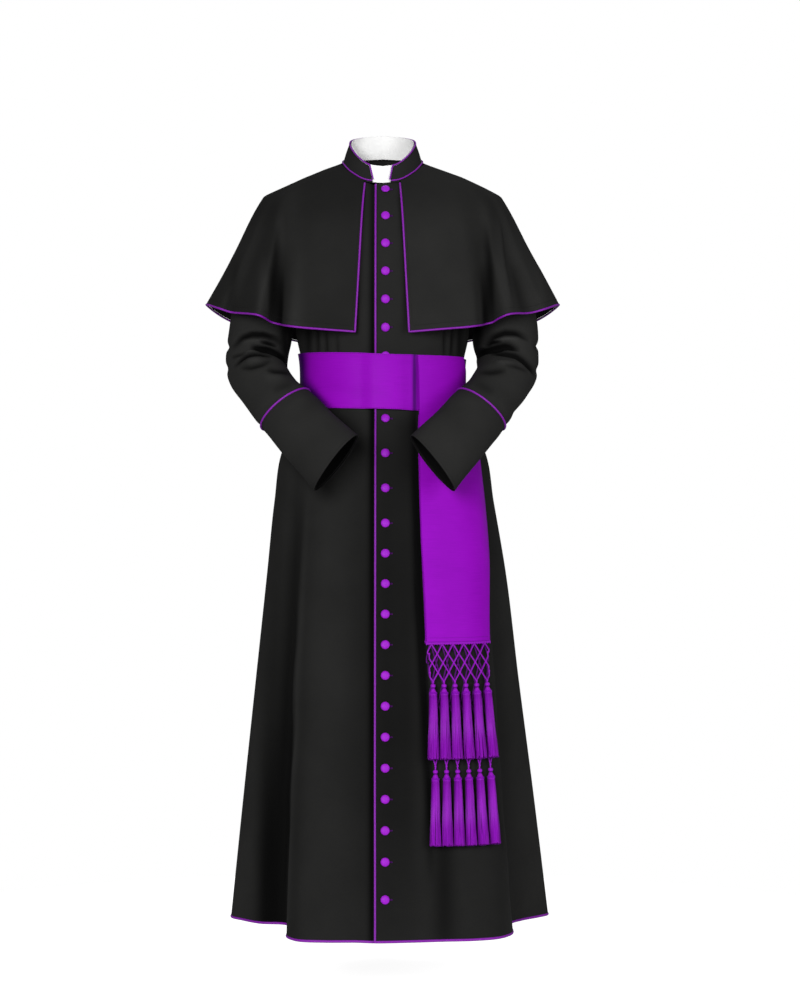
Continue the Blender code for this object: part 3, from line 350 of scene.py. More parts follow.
def body_top(place):
    """The body's upper edge: neckline, shoulder seam, armhole and back again."""
    p = np.abs(place)
    neck_side, tip = neck_point(90.0, 0.0), np.array(SHOULDER_TIP)
    front_share = ((p - NECK_SIDE_FRONT) / (SHOULDER_FRONT - NECK_SIDE_FRONT))[..., None]
    back_share = ((NECK_SIDE_BACK - p) / (NECK_SIDE_BACK - SHOULDER_BACK))[..., None]
    back_deg = 90.0 + 90.0 * (p - NECK_SIDE_BACK) / (1.0 - NECK_SIDE_BACK)
    p3 = p[..., None]
    top = np.select(
        [p3 <= NECK_SIDE_FRONT, p3 < SHOULDER_FRONT, p3 <= SHOULDER_BACK, p3 < NECK_SIDE_BACK],
        [neck_point(np.minimum(90.0 * p / NECK_SIDE_FRONT, 90.0), 0.0),
         lerp(neck_side, tip, front_share), armhole_at(p), lerp(neck_side, tip, back_share)],
        neck_point(np.clip(back_deg, 90.0, 180.0), 0.0))
    return mirrored(top, place)


def body_point(place, down):
    """Outer surface of the body: down is 0 at its upper edge, 1 at the chest, 2 at the hem."""
    place, down = np.broadcast_arrays(np.asarray(place, float), np.asarray(down, float))
    below = body_section(place, lerp(CHEST_Z, HEM_Z, np.maximum(down - 1.0, 0.0)))
    top = body_top(place)
    chest = body_section(place, CHEST_Z)
    turn = xyz(0.5 * (top[..., 0] + chest[..., 0]), lerp(top[..., 1], chest[..., 1], 0.9),
               lerp(top[..., 2], chest[..., 2], 0.25))
    d = np.clip(down, 0.0, 1.0)[..., None]
    above = (1.0 - d) ** 2 * top + 2.0 * d * (1.0 - d) * turn + d ** 2 * chest
    return np.where(down[..., None] >= 1.0, below, above)


def body_normal(place, down):
    step = 0.004
    across = body_point(place + step, down) - body_point(place - step, down)
    low, high = np.maximum(down - step, 0.0), np.minimum(down + step, 2.0)
    return unit(np.cross(body_point(place, high) - body_point(place, low), across))


def place_at_x(x, down):
    """The place in front whose surface has a given x."""
    x, down = np.broadcast_arrays(np.asarray(x, float), np.asarray(down, float))
    return last_where(lambda place: body_point(place, down)[..., 0] < x,
                      np.full(x.shape, -0.42), np.full(x.shape, 0.42))


def below_chest(z):
    """The row of the body, from 1 at the chest to 2 at the hem, at a height."""
    return 1.0 + (CHEST_Z - z) / (CHEST_Z - HEM_Z)


def on_front(x, z):
    """The place and row of the front at a given x and height."""
    x, z = np.broadcast_arrays(np.asarray(x, float), np.asarray(z, float))
    down = below_chest(z)
    if (z > CHEST_Z).any():
        above = last_where(lambda row: body_point(place_at_x(x, row), row)[..., 2] > z,
                           np.zeros(x.shape), np.ones(x.shape))
        down = np.where(z <= CHEST_Z, down, above)
    return place_at_x(x, down), down


def armhole_place(angle):
    return np.where(angle <= 180.0, lerp(SHOULDER_FRONT, SIDE_SEAM, angle / 180.0),
                    lerp(SIDE_SEAM, SHOULDER_BACK, angle / 180.0 - 1.0))


def sleeve_ring_point(ring, angle, grow):
    outer_x, outer_z, inner_x, inner_z, y, depth = np.moveaxis(ring_values(ring), -1, 0)
    centre = xyz(0.5 * (outer_x + inner_x), y, 0.5 * (outer_z + inner_z))
    across = xyz(outer_x - inner_x, 0.0, outer_z - inner_z)
    half_width = 0.5 * np.linalg.norm(across, axis=-1)
    step = np.moveaxis(ring_values(ring + 0.1) - ring_values(ring - 0.1), -1, 0)
    along = xyz(0.5 * (step[0] + step[2]), step[4], 0.5 * (step[1] + step[3]))
    slant = MOUTH_SLANT * smoothstep((ring - 6.5) / 5.0)[..., None]
    frontward = unit(np.cross(along, across))
    frontward = unit(lerp(frontward, np.array((0.0, -1.0, 0.0)), slant))
    turn = np.radians(angle)
    return (centre + ((half_width + grow) * np.cos(turn))[..., None] * unit(across)
            + ((depth + grow) * np.sin(turn))[..., None] * frontward)


def sleeve_point(side, ring, angle, grow=0.0):
    """Outer surface of a sleeve; ring 0 is the armhole and 12 the cuff's mouth."""
    ring, angle = np.broadcast_arrays(np.asarray(ring, float), np.asarray(angle, float))
    grow = np.broadcast_to(grow, ring.shape)
    edge = armhole_at(armhole_place(angle)) + (SEAM_GAP + 0.0002) * ARMHOLE_OUTWARD
    first = sleeve_ring_point(np.ones(ring.shape), angle, grow)
    cap = lerp(edge, first, np.clip(ring, 0.0, 1.0)[..., None])
    point = np.where(ring[..., None] < 1.0, cap, sleeve_ring_point(ring, angle, grow))
    if side < 0.0:
        shift = RIGHT_CUFF_SHIFT * smoothstep((ring - 8.5) / 3.5)
        point = point - xyz(shift, 0.0, 0.0)
    return point * np.array((side, 1.0, 1.0))


def collar_point(share, height, grow=0.0):
    """Outer surface of the collar, from its left end round the back to its right end."""
    half = lerp(SEAM_HALF_WIDTH, TOP_HALF_WIDTH, height)
    right_end = np.degrees(np.arcsin(lerp(NOTCH_FOOT[0], NOTCH_TOP[0], height) / half))
    left_end = np.degrees(np.arcsin(lerp(NOTCH_FOOT[1], NOTCH_TOP[1], height) / half))
    deg = lerp(left_end, 360.0 + right_end, share)
    point = neck_point(np.where(deg <= 180.0, deg, deg - 360.0), height, grow)
    return point + xyz(0.0, 0.0, COLLAR_FOOT_GAP * (1.0 - height))


mirror_row = CAPE_GORES[-2]
gore_values = smooth_curve(
    [gore.place for gore in CAPE_GORES] + [2.0 - mirror_row.place],
    [gore[2:] for gore in CAPE_GORES]
    + [(360.0 - mirror_row.neck_deg, -mirror_row.bend_x) + mirror_row[4:6]
       + (-mirror_row.hem_x,) + mirror_row[7:]])


def cape_knots(place):
    """The five points that the curve down the cape passes at a place."""
    deg, bend_x, bend_y, bend_z, hem_x, hem_y, hem_z = np.moveaxis(gore_values(place), -1, 0)
    neck_place = np.where(deg <= 90.0, NECK_SIDE_FRONT * deg / 90.0,
                          lerp(NECK_SIDE_BACK, 1.0, np.clip((deg - 90.0) / 90.0, 0.0, 1.0)))
    neck_up = np.where((neck_place >= NECK_SIDE_FRONT)[..., None], SHOULDER_NORMAL,
                       body_normal(neck_place, np.zeros(neck_place.shape)))
    neck = body_top(neck_place) + CAPE_LIFT * neck_up
    bend, hem = xyz(bend_x, bend_y, bend_z), xyz(hem_x, hem_y, hem_z)
    bulge = xyz(0.0, -0.009 * np.cos(np.radians(deg)), 0.005)
    return np.stack((neck, 0.5 * (neck + bend) + bulge, bend, 0.5 * (bend + hem), hem))


def cape_point(place, down):
    """Outer surface of the cape at arrays of places and rows, as a grid of rows and places."""
    place, down = np.asarray(place, float), np.asarray(down, float)
    knots = (0.0, 0.5 * CAPE_BEND, CAPE_BEND, 0.5 * (1.0 + CAPE_BEND), 1.0)
    points = cape_knots(np.abs(place)).reshape(5, -1)
    smooth = smooth_curve(knots, points)(down).reshape(len(down), len(place), 3)
    straight = points_at(down, knots, points).reshape(smooth.shape)
    corner = SHOULDER_CORNER * smoothstep(1.7 - np.abs(np.abs(place) - SIDE_SEAM) / SHOULDER_SPREAD)
    grid = lerp(smooth, straight, corner[None, :, None])
    return mirrored(grid, place)


def sash_point(place, height, lift):
    """The sash band round the waist; height is 0 at its top edge and 1 at its foot."""
    place, height = np.broadcast_arrays(np.asarray(place, float), np.asarray(height, float))
    z = lerp(SASH_TOP_Z, SASH_FOOT_Z, height)
    z = z - SASH_DROP * body_section(place, z)[..., 0]
    point = body_section(place, z)
    over = SASH_OVER_BUTTONS * smoothstep(1.6 - np.abs(point[..., 0] - BUTTON_X) / 0.03)
    over = np.where(point[..., 1] < 0.0, over, 0.0)
    return point + (SASH_CLEAR + over + lift)[..., None] * body_normal(place, below_chest(z))


def fall_point(fall, share, z, lift):
    """A point of a sash fall or its fringe, at a share of its width from its left edge."""
    left, right = np.moveaxis(fall_edges(-np.asarray(z, float)), -1, 0)
    shift = fall.shift * smoothstep((fall.foot_z - z) / fall.net_height)
    here = on_front(lerp(left, right, share) + shift, z)
    middle = on_front(0.5 * (left + right) + shift, z)
    hanging = np.asarray(smoothstep((WRAP_FOOT_Z - np.asarray(z)) / WRAP_RUN))[..., None]
    outward = unit(lerp(body_normal(*here), body_normal(*middle), hanging))
    return body_point(*here) + np.asarray(lift)[..., None] * outward


# ---------------------------------------------------------------- mesh builders

def grid_normals(points, closed=False):
    """Outward normals of a grid whose rows run down and whose columns run to the left."""
    if closed:
        across = np.roll(points, -1, axis=1) - np.roll(points, 1, axis=1)
    else:
        across = np.gradient(points, axis=1)
    return unit(np.cross(np.gradient(points, axis=0), across))


def grid_lengths(points, closed=False):
    """Metres across and down the cloth at each grid point, used as its UV map."""
    wide = np.concatenate((points, points[:, :1]), axis=1) if closed else points
    u = run_lengths(np.linalg.norm(np.diff(wide, axis=1), axis=-1).mean(axis=0))
    v = run_lengths(np.linalg.norm(np.diff(points, axis=0), axis=-1).mean(axis=1))
    return np.stack(np.meshgrid(u, -v), axis=-1)


def grid_corners(rows, columns, closed, flip):
    """The four (row, column) corners of each face of a grid."""
    r, c = np.meshgrid(np.arange(rows - 1), np.arange(columns if closed else columns - 1),
                       indexing="ij")
    r, c = r.ravel(), c.ravel()
    corners = [(r, c), (r + 1, c), (r + 1, c + 1), (r, c + 1)]
    return corners[::-1] if flip else corners


Look = namedtuple("Look", "material slot")


def make_mesh(name, vertices, faces, uvs, look, sharp_deg):
    """A piece from arrays of points and faces, with a UV for each face corner."""
    mesh = bpy.data.meshes.new(name)
    mesh.from_pydata(vertices.tolist(), [], faces)
    layer = mesh.uv_layers.new(name="Cloth")
    layer.data.foreach_set("uv", np.asarray(uvs, np.float32).ravel())
    mesh.materials.append(look.material)
    mesh.shade_smooth()
    mesh.set_sharp_from_angle(angle=math.radians(sharp_deg))
    piece = bpy.data.objects.new(name, mesh)
    bpy.context.scene.collection.objects.link(piece)
    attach(piece, "root")
    return piece


def add_shade(piece, shade):
    """How far painted shade darkens the colour from point to point, or, where it is negative, how far
    painted light brightens it.
    """
    layer = piece.data.attributes.new("fold_shade", "FLOAT", "POINT")
    layer.data.foreach_set("value", np.asarray(shade, np.float32))


def shell(node, outer, thickness, look, closed=False, shade=None, inside=0.0, name=None):
    """A thin wall of cloth under a grid of outer points, with its edges closed.

    It stands for a node of the CAD. Inside is the least painted shade on the wall's inner side."""
    rows, columns = outer.shape[:2]
    inner = outer - thickness * grid_normals(outer, closed)
    vertices = np.concatenate((outer.reshape(-1, 3), inner.reshape(-1, 3)))
    lengths = grid_lengths(outer, closed)
    faces, uvs = [], []

    def add(corners, layers):
        index = [layer * rows * columns + r * columns + c % columns
                 for (r, c), layer in zip(corners, layers)]
        faces.extend(np.stack(index, axis=1).tolist())
        uvs.append(np.stack([lengths[r, c] for r, c in corners], axis=1))

    add(grid_corners(rows, columns, closed, False), (0, 0, 0, 0))
    add(grid_corners(rows, columns, closed, True), (1, 1, 1, 1))
    c = np.arange(columns if closed else columns - 1)
    top, foot = np.zeros(len(c), int), np.full(len(c), rows - 1)
    add([(top, c), (top, c + 1), (top, c + 1), (top, c)], (0, 0, 1, 1))
    add([(foot, c + 1), (foot, c), (foot, c), (foot, c + 1)], (0, 0, 1, 1))
    if not closed:
        r = np.arange(rows - 1)
        left, right = np.zeros(len(r), int), np.full(len(r), columns - 1)
        add([(r + 1, left), (r, left), (r, left), (r + 1, left)], (0, 0, 1, 1))
        add([(r, right), (r + 1, right), (r + 1, right), (r, right)], (0, 0, 1, 1))
    piece = make_mesh(name or node + "_cloth", vertices, faces, np.concatenate(uvs).reshape(-1, 2),
                      look, 50.0)
    if shade is not None:
        add_shade(piece, np.stack((shade, np.maximum(shade, inside))).ravel())
    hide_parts(node)


def spaced(points, step):
    """The same line again, as points an even step apart."""
    points = np.asarray(points, float)
    along = along_line(points)
    count = max(int(round(along[-1] / step)), 2)
    return points_at(np.linspace(0.0, along[-1], count + 1), along, points)


def tube_rings(points, radius, sides, closed=False, twist=0.0):
    """Rings of points round a line, with no turning between one and the next but the twist."""
    count = len(points)
    if closed:
        along = unit(np.roll(points, -1, axis=0) - np.roll(points, 1, axis=0))
    else:
        along = unit(np.gradient(points, axis=0))
    helper = np.array((0.0, 0.0, 1.0)) if abs(along[0, 2]) < 0.8 else np.array((1.0, 0.0, 0.0))
    way = unit(np.cross(along[0], helper))
    ways = []
    for direction in along:
        way = unit(way - direction * np.dot(way, direction))
        ways.append(way)
    ways = np.array(ways)
    if closed:
        drift = math.atan2(np.dot(np.cross(ways[-1], ways[0]), along[0]), np.dot(ways[-1], ways[0]))
        twist = twist + drift
    others = np.cross(along, ways)
    turn = 2.0 * math.pi * np.arange(sides) / sides + (twist * np.arange(count) / count)[:, None]
    radius = np.broadcast_to(radius, (count,))[:, None, None]
    round_it = np.cos(turn)[..., None] * ways[:, None] + np.sin(turn)[..., None] * others[:, None]
    return points[:, None] + radius * round_it


class Joined:
    """Many small forms joined into one mesh."""

    def __init__(self):
        self.vertices, self.faces, self.uvs, self.shades, self.count = [], [], [], [], 0

    def rings(self, rings, closed=False, shade=0.0):
        """Rings of points joined into a tube; closed joins its last ring to its first.

        Shade is painted shade: one number, or one for each ring."""
        count, sides = rings.shape[:2]
        last = count if closed else count - 1
        r, k = np.meshgrid(np.arange(last), np.arange(sides), indexing="ij")
        r, k = r.ravel(), k.ravel()
        corners = ((r, k), (r, k + 1), (r + 1, k + 1), (r + 1, k))
        index = [self.count + (a % count) * sides + b % sides for a, b in corners]
        self.faces.extend(np.stack(index, axis=1).tolist())
        round_it = np.linalg.norm(rings[0, 0] - rings[0, 1]) * np.arange(sides + 1)
        line = rings.mean(axis=1)
        along = run_lengths(np.linalg.norm(np.roll(line, -1, axis=0) - line, axis=1))
        uvs = [np.stack((round_it[b], along[a]), axis=1) for a, b in corners]
        self.uvs.append(np.stack(uvs, axis=1).reshape(-1, 2))
        if not closed:
            for ring, flip in ((0, True), (count - 1, False)):
                corner = self.count + ring * sides + np.arange(sides)
                self.faces.append((corner[::-1] if flip else corner).tolist())
                self.uvs.append(np.zeros((sides, 2)))
        self.vertices.append(rings.reshape(-1, 3))
        self.shades.append(np.repeat(np.broadcast_to(shade, (count,)), sides))
        self.count += count * sides

    def piece(self, name, look, node=None, sharp_deg=60.0):
        """One piece of all the forms, which may stand for a node of the CAD."""
        piece = make_mesh(name, np.concatenate(self.vertices), self.faces,
                          np.concatenate(self.uvs), look, sharp_deg)
        add_shade(piece, np.concatenate(self.shades))
        if node:
            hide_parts(node)


def cord(name, node, points, radius, closed=False):
    joined = Joined()
    joined.rings(tube_rings(points, radius, 12, closed), closed)
    joined.piece(name, CORD, node)


def add_stitches(joined, line, outward, pitch=0.0042, length=0.0029, radius=0.00032):
    """A row of stitches along a line, each a low loop of thread that dips at both ends."""
    along = along_line(line)
    starts = np.arange(0.5 * pitch, along[-1] - length, pitch)
    at = starts[:, None] + length * np.array((0.0, 0.25, 0.75, 1.0))
    heights = np.array((-0.6, 0.7, 0.7, -0.6)) * radius
    for stitch in points_at(at, along, line) + heights[:, None] * unit(points_at(at, along, outward)):
        joined.rings(tube_rings(stitch, radius, 4))


# ---------------------------------------------------------------- creases, listed one by one

MM = 0.001
Crease = namedtuple("Crease", "view width depth lean shade path")
# the axes across and away from each view, and the way its cloth faces
VIEWS = {"front": (0, 1, -1.0), "back": (0, 1, 1.0), "left": (1, 0, 1.0), "right": (1, 0, -1.0)}
CREASE_STEP = 0.008
CREASE_REACH = 3.2          # widths from a crease's line past which it has no effect
CREASE_SQUASH = 0.35        # what a step towards the view counts, against one across it
CREASE_TAPER = 2.6          # the higher, the shorter the ends over which a crease dies away


def crease_table(**views):
    """Creases from rows of width, depth, lean, shade and points, with their lengths in mm."""
    return [Crease(view, MM * width, MM * depth, lean, shade, [(MM * a, MM * z) for a, z in path])
            for view, rows in views.items() for width, depth, lean, shade, *path in rows]


def crease_line(crease, points, normals):
    """Points along a crease, an even step apart, laid on the cloth that is seen from its side."""
    across, away, sign = VIEWS[crease.view]
    seen = np.flatnonzero(sign * normals[:, away] > 0.05)
    targets = spaced([(a, 0.0, z) for a, z in crease.path], CREASE_STEP)
    nearest = []
    for a, _, z in targets:
        gap = (points[seen, across] - a) ** 2 + (points[seen, 2] - z) ** 2
        nearest.append(seen[np.argmin(gap)])
    lift = np.pad(points[nearest][:, away], 2, mode="edge")
    line = np.zeros((len(targets), 3))
    line[:, across], line[:, 2] = targets[:, 0], targets[:, 2]
    line[:, away] = np.convolve(lift, np.full(5, 0.2), mode="valid")
    return line


def crease_relief(points, normals, creases):
    """Height to add at each point, and the painted shade there.

    Creases are lines seen from one side, as (across, z). A positive depth is a ridge and a
    negative one a trough. Lean makes one flank steeper. Where no shade is given, a trough gets
    painted shade and a ridge a painted highlight, from its depth; a given shade is painted shade,
    a negative one painted light, a crease with no depth is painted shade or shadow only, and
    shade above 1 paints a deep fold dark over more of its width."""
    flat, flat_normals = points.reshape(-1, 3), normals.reshape(-1, 3)
    relief, unshaded = np.zeros(len(flat)), np.ones(len(flat))
    for crease in creases:
        line = crease_line(crease, flat, flat_normals)
        squash = np.ones(3)
        squash[VIEWS[crease.view][1]] = CREASE_SQUASH
        reach = CREASE_REACH * crease.width * (1.0 + abs(crease.lean)) / squash
        low, high = line.min(axis=0) - reach, line.max(axis=0) + reach
        near = np.flatnonzero(((flat > low) & (flat < high)).all(axis=1))
        if not len(near):
            continue
        starts, ways = line[:-1] * squash, np.diff(line * squash, axis=0)
        offsets = flat[near, None] * squash - starts
        share = np.clip((offsets * ways).sum(-1) / (ways * ways).sum(-1), 0.0, 1.0)
        offsets = offsets - share[..., None] * ways
        nearest = np.argmin((offsets ** 2).sum(-1), axis=1)
        pick = np.arange(len(near))
        offset = offsets[pick, nearest]
        t = (nearest + share[pick, nearest]) / len(ways)
        side = (np.cross(ways[nearest], flat_normals[near]) * offset).sum(-1)
        width = crease.width * (1.0 + crease.lean * np.sign(side))
        taper = np.clip(1.0 - np.abs(2.0 * t - 1.0) ** CREASE_TAPER, 0.0, 1.0)
        height = np.exp(-(offset ** 2).sum(-1) / width ** 2)
        relief[near] += crease.depth * taper * height
        # painted shade from the depth where none is given: dark in a trough, a painted highlight on a ridge
        shade = crease.shade
        if shade is None:
            shade = max(min(0.7, -crease.depth / 0.014), -0.35)
        unshaded[near] *= 1.0 - np.minimum(shade * taper * height, 0.97)
    return relief.reshape(points.shape[:-1]), 1.0 - unshaded.reshape(points.shape[:-1])


def soft_relief(points, seed, size, depth):
    """A slow uneven rise and fall of the cloth, so that no panel is perfectly even."""
    random = np.random.default_rng(seed)
    height = np.zeros(points.shape[:-1])
    for _ in range(7):
        way = unit(random.normal(size=3)) * (2.0 * math.pi / size) * random.uniform(0.6, 1.5)
        height += np.sin(points @ way + random.uniform(0.0, 2.0 * math.pi))
    return depth * height / 3.0


RELIEF_SEEDS = {"front_left": 11, "front_right": 12, "back": 13, "sleeve_left": 21,
                "sleeve_right": 22, "cuff_left": 23, "cuff_right": 24, "cape": 31, "sash_band": 41}


def dressed(node, points, creases, closed=False, size=0.16, depth=0.0012, fade=1.0, painted_base_shade=0.0):
    """A grid of points with its creases and its slow unevenness, and its painted shade.

    Painted_base_shade is painted shade over the piece where there is no crease, for how the light falls on
    it; where negative it is painted light."""
    normals = grid_normals(points, closed)
    relief, shade = crease_relief(points, normals, creases)
    relief = fade * (relief + soft_relief(points, RELIEF_SEEDS[node], size, depth))
    return points + relief[..., None] * normals, 1.0 - (1.0 - shade) * (1.0 - painted_base_shade)


def packed_ends(count, tight=0.7):
    """Shares from 0 to 1 that come closer together at both ends."""
    t = np.linspace(0.0, 1.0, count)
    return t - tight * np.sin(2.0 * math.pi * t) / (2.0 * math.pi)


# ---------------------------------------------------------------- materials

class Nodes:
    """Short names for building a material's nodes; an input is a value or another's output."""

    def __init__(self, name, **sockets):
        self.material = bpy.data.materials.new(name)
        self.material.use_nodes = True
        self.tree = self.material.node_tree
        self.shader = self.tree.nodes["Principled BSDF"]
        for socket, value in sockets.items():
            self.feed(self.shader.inputs[socket.replace("_", " ")], value)
        self.cloth_uv = self.add("UVMap", uv_map="Cloth").outputs["UV"]
        self.place = self.add("TexCoord").outputs["Object"]

    def feed(self, socket, value):
        if isinstance(value, bpy.types.NodeSocket):
            self.tree.links.new(value, socket)
        else:
            socket.default_value = value

    def add(self, kind, *inputs, **settings):
        node = self.tree.nodes.new("ShaderNode" + kind)
        for key, value in settings.items():
            setattr(node, key, value)
        for socket, value in inputs:
            self.feed(node.inputs[socket], value)
        return node

    def noise(self, vector, scale, detail=2.0, roughness=0.5):
        return self.add("TexNoise", ("Vector", vector), ("Scale", scale), ("Detail", detail),
                        ("Roughness", roughness)).outputs["Fac"]

    def stretched(self, vector, scale, turn_deg=0.0):
        turn = (0.0, 0.0, math.radians(turn_deg))
        return self.add("Mapping", ("Vector", vector), ("Scale", scale),
                        ("Rotation", turn)).outputs["Vector"]

    def ribs(self, vector, pitch, direction="X"):
        """Even ribs a given pitch apart."""
        return self.add("TexWave", ("Vector", vector), ("Scale", 0.314159 / pitch), ("Detail", 0.0),
                        wave_type="BANDS", bands_direction=direction).outputs["Fac"]

    def math(self, kind, a, b):
        return self.add("Math", (0, a), (1, b), operation=kind).outputs[0]

    def mixed(self, a, b, share):
        """The first by its share and the second by the rest."""
        return self.math("ADD", self.math("MULTIPLY", a, share),
                         self.math("MULTIPLY", b, 1.0 - share))

    def ramp(self, fac, *stops):
        """A colour ramp of (position, colour) stops."""
        node = self.add("ValToRGB", ("Fac", fac))
        for element, (position, colour) in zip(node.color_ramp.elements, stops):
            element.position = position
            element.color = (*colour, 1.0)
        return node.outputs["Color"]

    def colour(self, output):
        self.feed(self.shader.inputs["Base Color"], output)

    def painted_shade_colour(self, output, dark):
        """The colour, turned towards a dark one by the painted shade in the piece's fold_shade attribute,
        and lightened where that is negative, a painted highlight.
        """
        shade = self.add("Attribute", attribute_name="fold_shade").outputs["Fac"]
        light = self.add("VectorMath", (0, output), ("Scale", self.math("SUBTRACT", 1.0, shade)),
                         operation="SCALE")
        deep = self.add("VectorMath", (0, dark), ("Scale", self.math("MAXIMUM", shade, 0.0)),
                        operation="SCALE")
        self.colour(self.add("VectorMath", (0, light.outputs[0]), (1, deep.outputs[0]),
                             operation="ADD").outputs[0])

    def roughness(self, fac, low, high):
        node = self.add("MapRange", ("Value", fac), ("To Min", low), ("To Max", high))
        self.feed(self.shader.inputs["Roughness"], node.outputs["Result"])

    def bump(self, height, strength, distance, below=None):
        inputs = [("Height", height), ("Strength", strength), ("Distance", distance)]
        if below:
            inputs.append(("Normal", below))
        normal = self.add("Bump", *inputs).outputs["Normal"]
        self.feed(self.shader.inputs["Normal"], normal)
        return normal


def black_wool():
    """Fine black wool: a steep twill line, a little melange and a short dull nap, with painted shade and
    painted light from the piece's fold_shade attribute.
    """
    n = Nodes("black_wool", Specular_IOR_Level=0.08)
    fibre = n.noise(n.stretched(n.cloth_uv, (900.0, 420.0, 1.0)), 1.0, 3.0, 0.6)
    cloud = n.noise(n.place, 9.0, 3.0, 0.55)
    cloth = n.ramp(n.mixed(fibre, cloud, 0.62), (0.3, (0.011, 0.011, 0.0107)),
                   (0.72, (0.0205, 0.0204, 0.0197)))
    n.painted_shade_colour(cloth, (0.0006, 0.0006, 0.0006))
    n.roughness(fibre, 0.78, 0.94)
    twill = n.ribs(n.stretched(n.cloth_uv, (1.0, 1.0, 1.0), 62.0), 0.0011)
    first = n.bump(twill, 0.16, 0.0004)
    n.bump(fibre, 0.22, 0.0005, first)
    return Look(n.material, "black_wool")


def ribbed_silk():
    """Purple silk with fine cross ribs and slubs, and hardly a gleam, with painted shade and painted light
    from the piece's fold_shade attribute.
    """
    n = Nodes("purple_satin", Specular_IOR_Level=0.05)
    slub = n.noise(n.stretched(n.cloth_uv, (24.0, 900.0, 1.0)), 1.0, 3.0, 0.6)
    cloud = n.noise(n.place, 7.0, 2.0)
    cloth = n.ramp(n.mixed(slub, cloud, 0.5), (0.32, (0.235, 0.0018, 0.41)),
                   (0.7, (0.31, 0.0036, 0.525)))
    n.painted_shade_colour(cloth, (0.03, 0.0005, 0.085))
    n.roughness(slub, 0.42, 0.58)
    first = n.bump(n.ribs(n.cloth_uv, 0.0012, "Y"), 0.2, 0.0004)
    n.bump(slub, 0.16, 0.0004, first)
    return Look(n.material, "purple_satin")


def twisted_thread(name, dark, light, pitch, sheen, specular):
    """Purple thread or bias-cut cord, with a twist that runs round it, with painted shade from the piece's
    fold_shade attribute.
    """
    n = Nodes(name, Sheen_Weight=sheen, Sheen_Roughness=0.35, Specular_IOR_Level=specular)
    n.shader.inputs["Sheen Tint"].default_value = PURPLE_SHEEN
    twist = n.ribs(n.stretched(n.cloth_uv, (1.0, 1.0, 1.0), 35.0), pitch)
    fibre = n.noise(n.cloth_uv, 900.0, 2.0)
    mixed = n.mixed(twist, fibre, 0.55)
    n.painted_shade_colour(n.ramp(mixed, (0.25, dark), (0.75, light)), (0.012, 0.0, 0.03))
    n.roughness(fibre, 0.42, 0.62)
    n.bump(mixed, 0.35, 0.0004)
    return Look(n.material, name)


def covered_button():
    """Purple cloth drawn tight over a mould, with the weave of the cloth."""
    n = Nodes("purple_button", Sheen_Weight=0.03, Sheen_Roughness=0.35, Specular_IOR_Level=0.16)
    n.shader.inputs["Sheen Tint"].default_value = PURPLE_SHEEN
    weave = n.math("MULTIPLY", n.ribs(n.place, 0.0009, "X"), n.ribs(n.place, 0.0009, "Z"))
    cloud = n.noise(n.place, 260.0, 2.0)
    n.colour(n.ramp(n.mixed(weave, cloud, 0.4), (0.15, (0.26, 0.007, 0.46)), (0.75, (0.36, 0.014, 0.61))))
    n.roughness(cloud, 0.4, 0.56)
    n.bump(weave, 0.25, 0.0003)
    return Look(n.material, "purple_button")


def white_band():
    """The collar's smooth white band, of stiffened linen with a fine weave."""
    n = Nodes("white_collar", Specular_IOR_Level=0.45)
    weave = n.math("MULTIPLY", n.ribs(n.cloth_uv, 0.0008, "X"), n.ribs(n.cloth_uv, 0.0008, "Y"))
    cloud = n.noise(n.place, 40.0, 2.0)
    n.colour(n.ramp(cloud, (0.3, (0.9, 0.9, 0.895)), (0.7, (0.96, 0.96, 0.955))))
    n.roughness(cloud, 0.34, 0.46)
    n.bump(weave, 0.1, 0.0002)
    return Look(n.material, "white_collar")


def sewing_thread(name, colour, slot):
    n = Nodes(name, Specular_IOR_Level=0.08)
    fibre = n.noise(n.place, 1400.0)
    n.colour(n.ramp(fibre, (0.3, tuple(0.8 * c for c in colour)), (0.7, tuple(1.2 * c for c in colour))))
    n.roughness(fibre, 0.5, 0.7)
    n.bump(fibre, 0.2, 0.0002)
    return Look(n.material, slot)


PURPLE_SHEEN = (0.9, 0.55, 1.0, 1.0)
WOOL = black_wool()
SILK = ribbed_silk()
CORD = twisted_thread("purple_cord", (0.16, 0.006, 0.285), (0.258, 0.014, 0.41), pitch=0.0016,
                      sheen=0.0, specular=0.28)
FRINGE = twisted_thread("purple_thread", (0.215, 0.005, 0.385), (0.365, 0.012, 0.6), pitch=0.001,
                        sheen=0.03, specular=0.12)
BUTTON = covered_button()
WHITE = white_band()
BLACK_THREAD = sewing_thread("black_thread", (0.0125, 0.0125, 0.0122), "black_wool")
PURPLE_THREAD = sewing_thread("purple_stitch", (0.07, 0.005, 0.12), "purple_thread")


# ---------------------------------------------------------------- the robe's body

ROBE_ROWS = np.concatenate((np.linspace(0.0, 1.0, 30)[:-1], np.linspace(1.0, 2.0, 148)))
ROBE_COLUMNS = 120          # of a front; the back has more
SEAM_FADE = 0.12            # share of a panel over which its relief fades out at the side seam
HALF_SEAM = 0.0004          # half the gap of a side seam, as a share of the way round
UNDERLAP_WIDTH = 0.003      # the back's cloth turned in behind a side seam, likewise
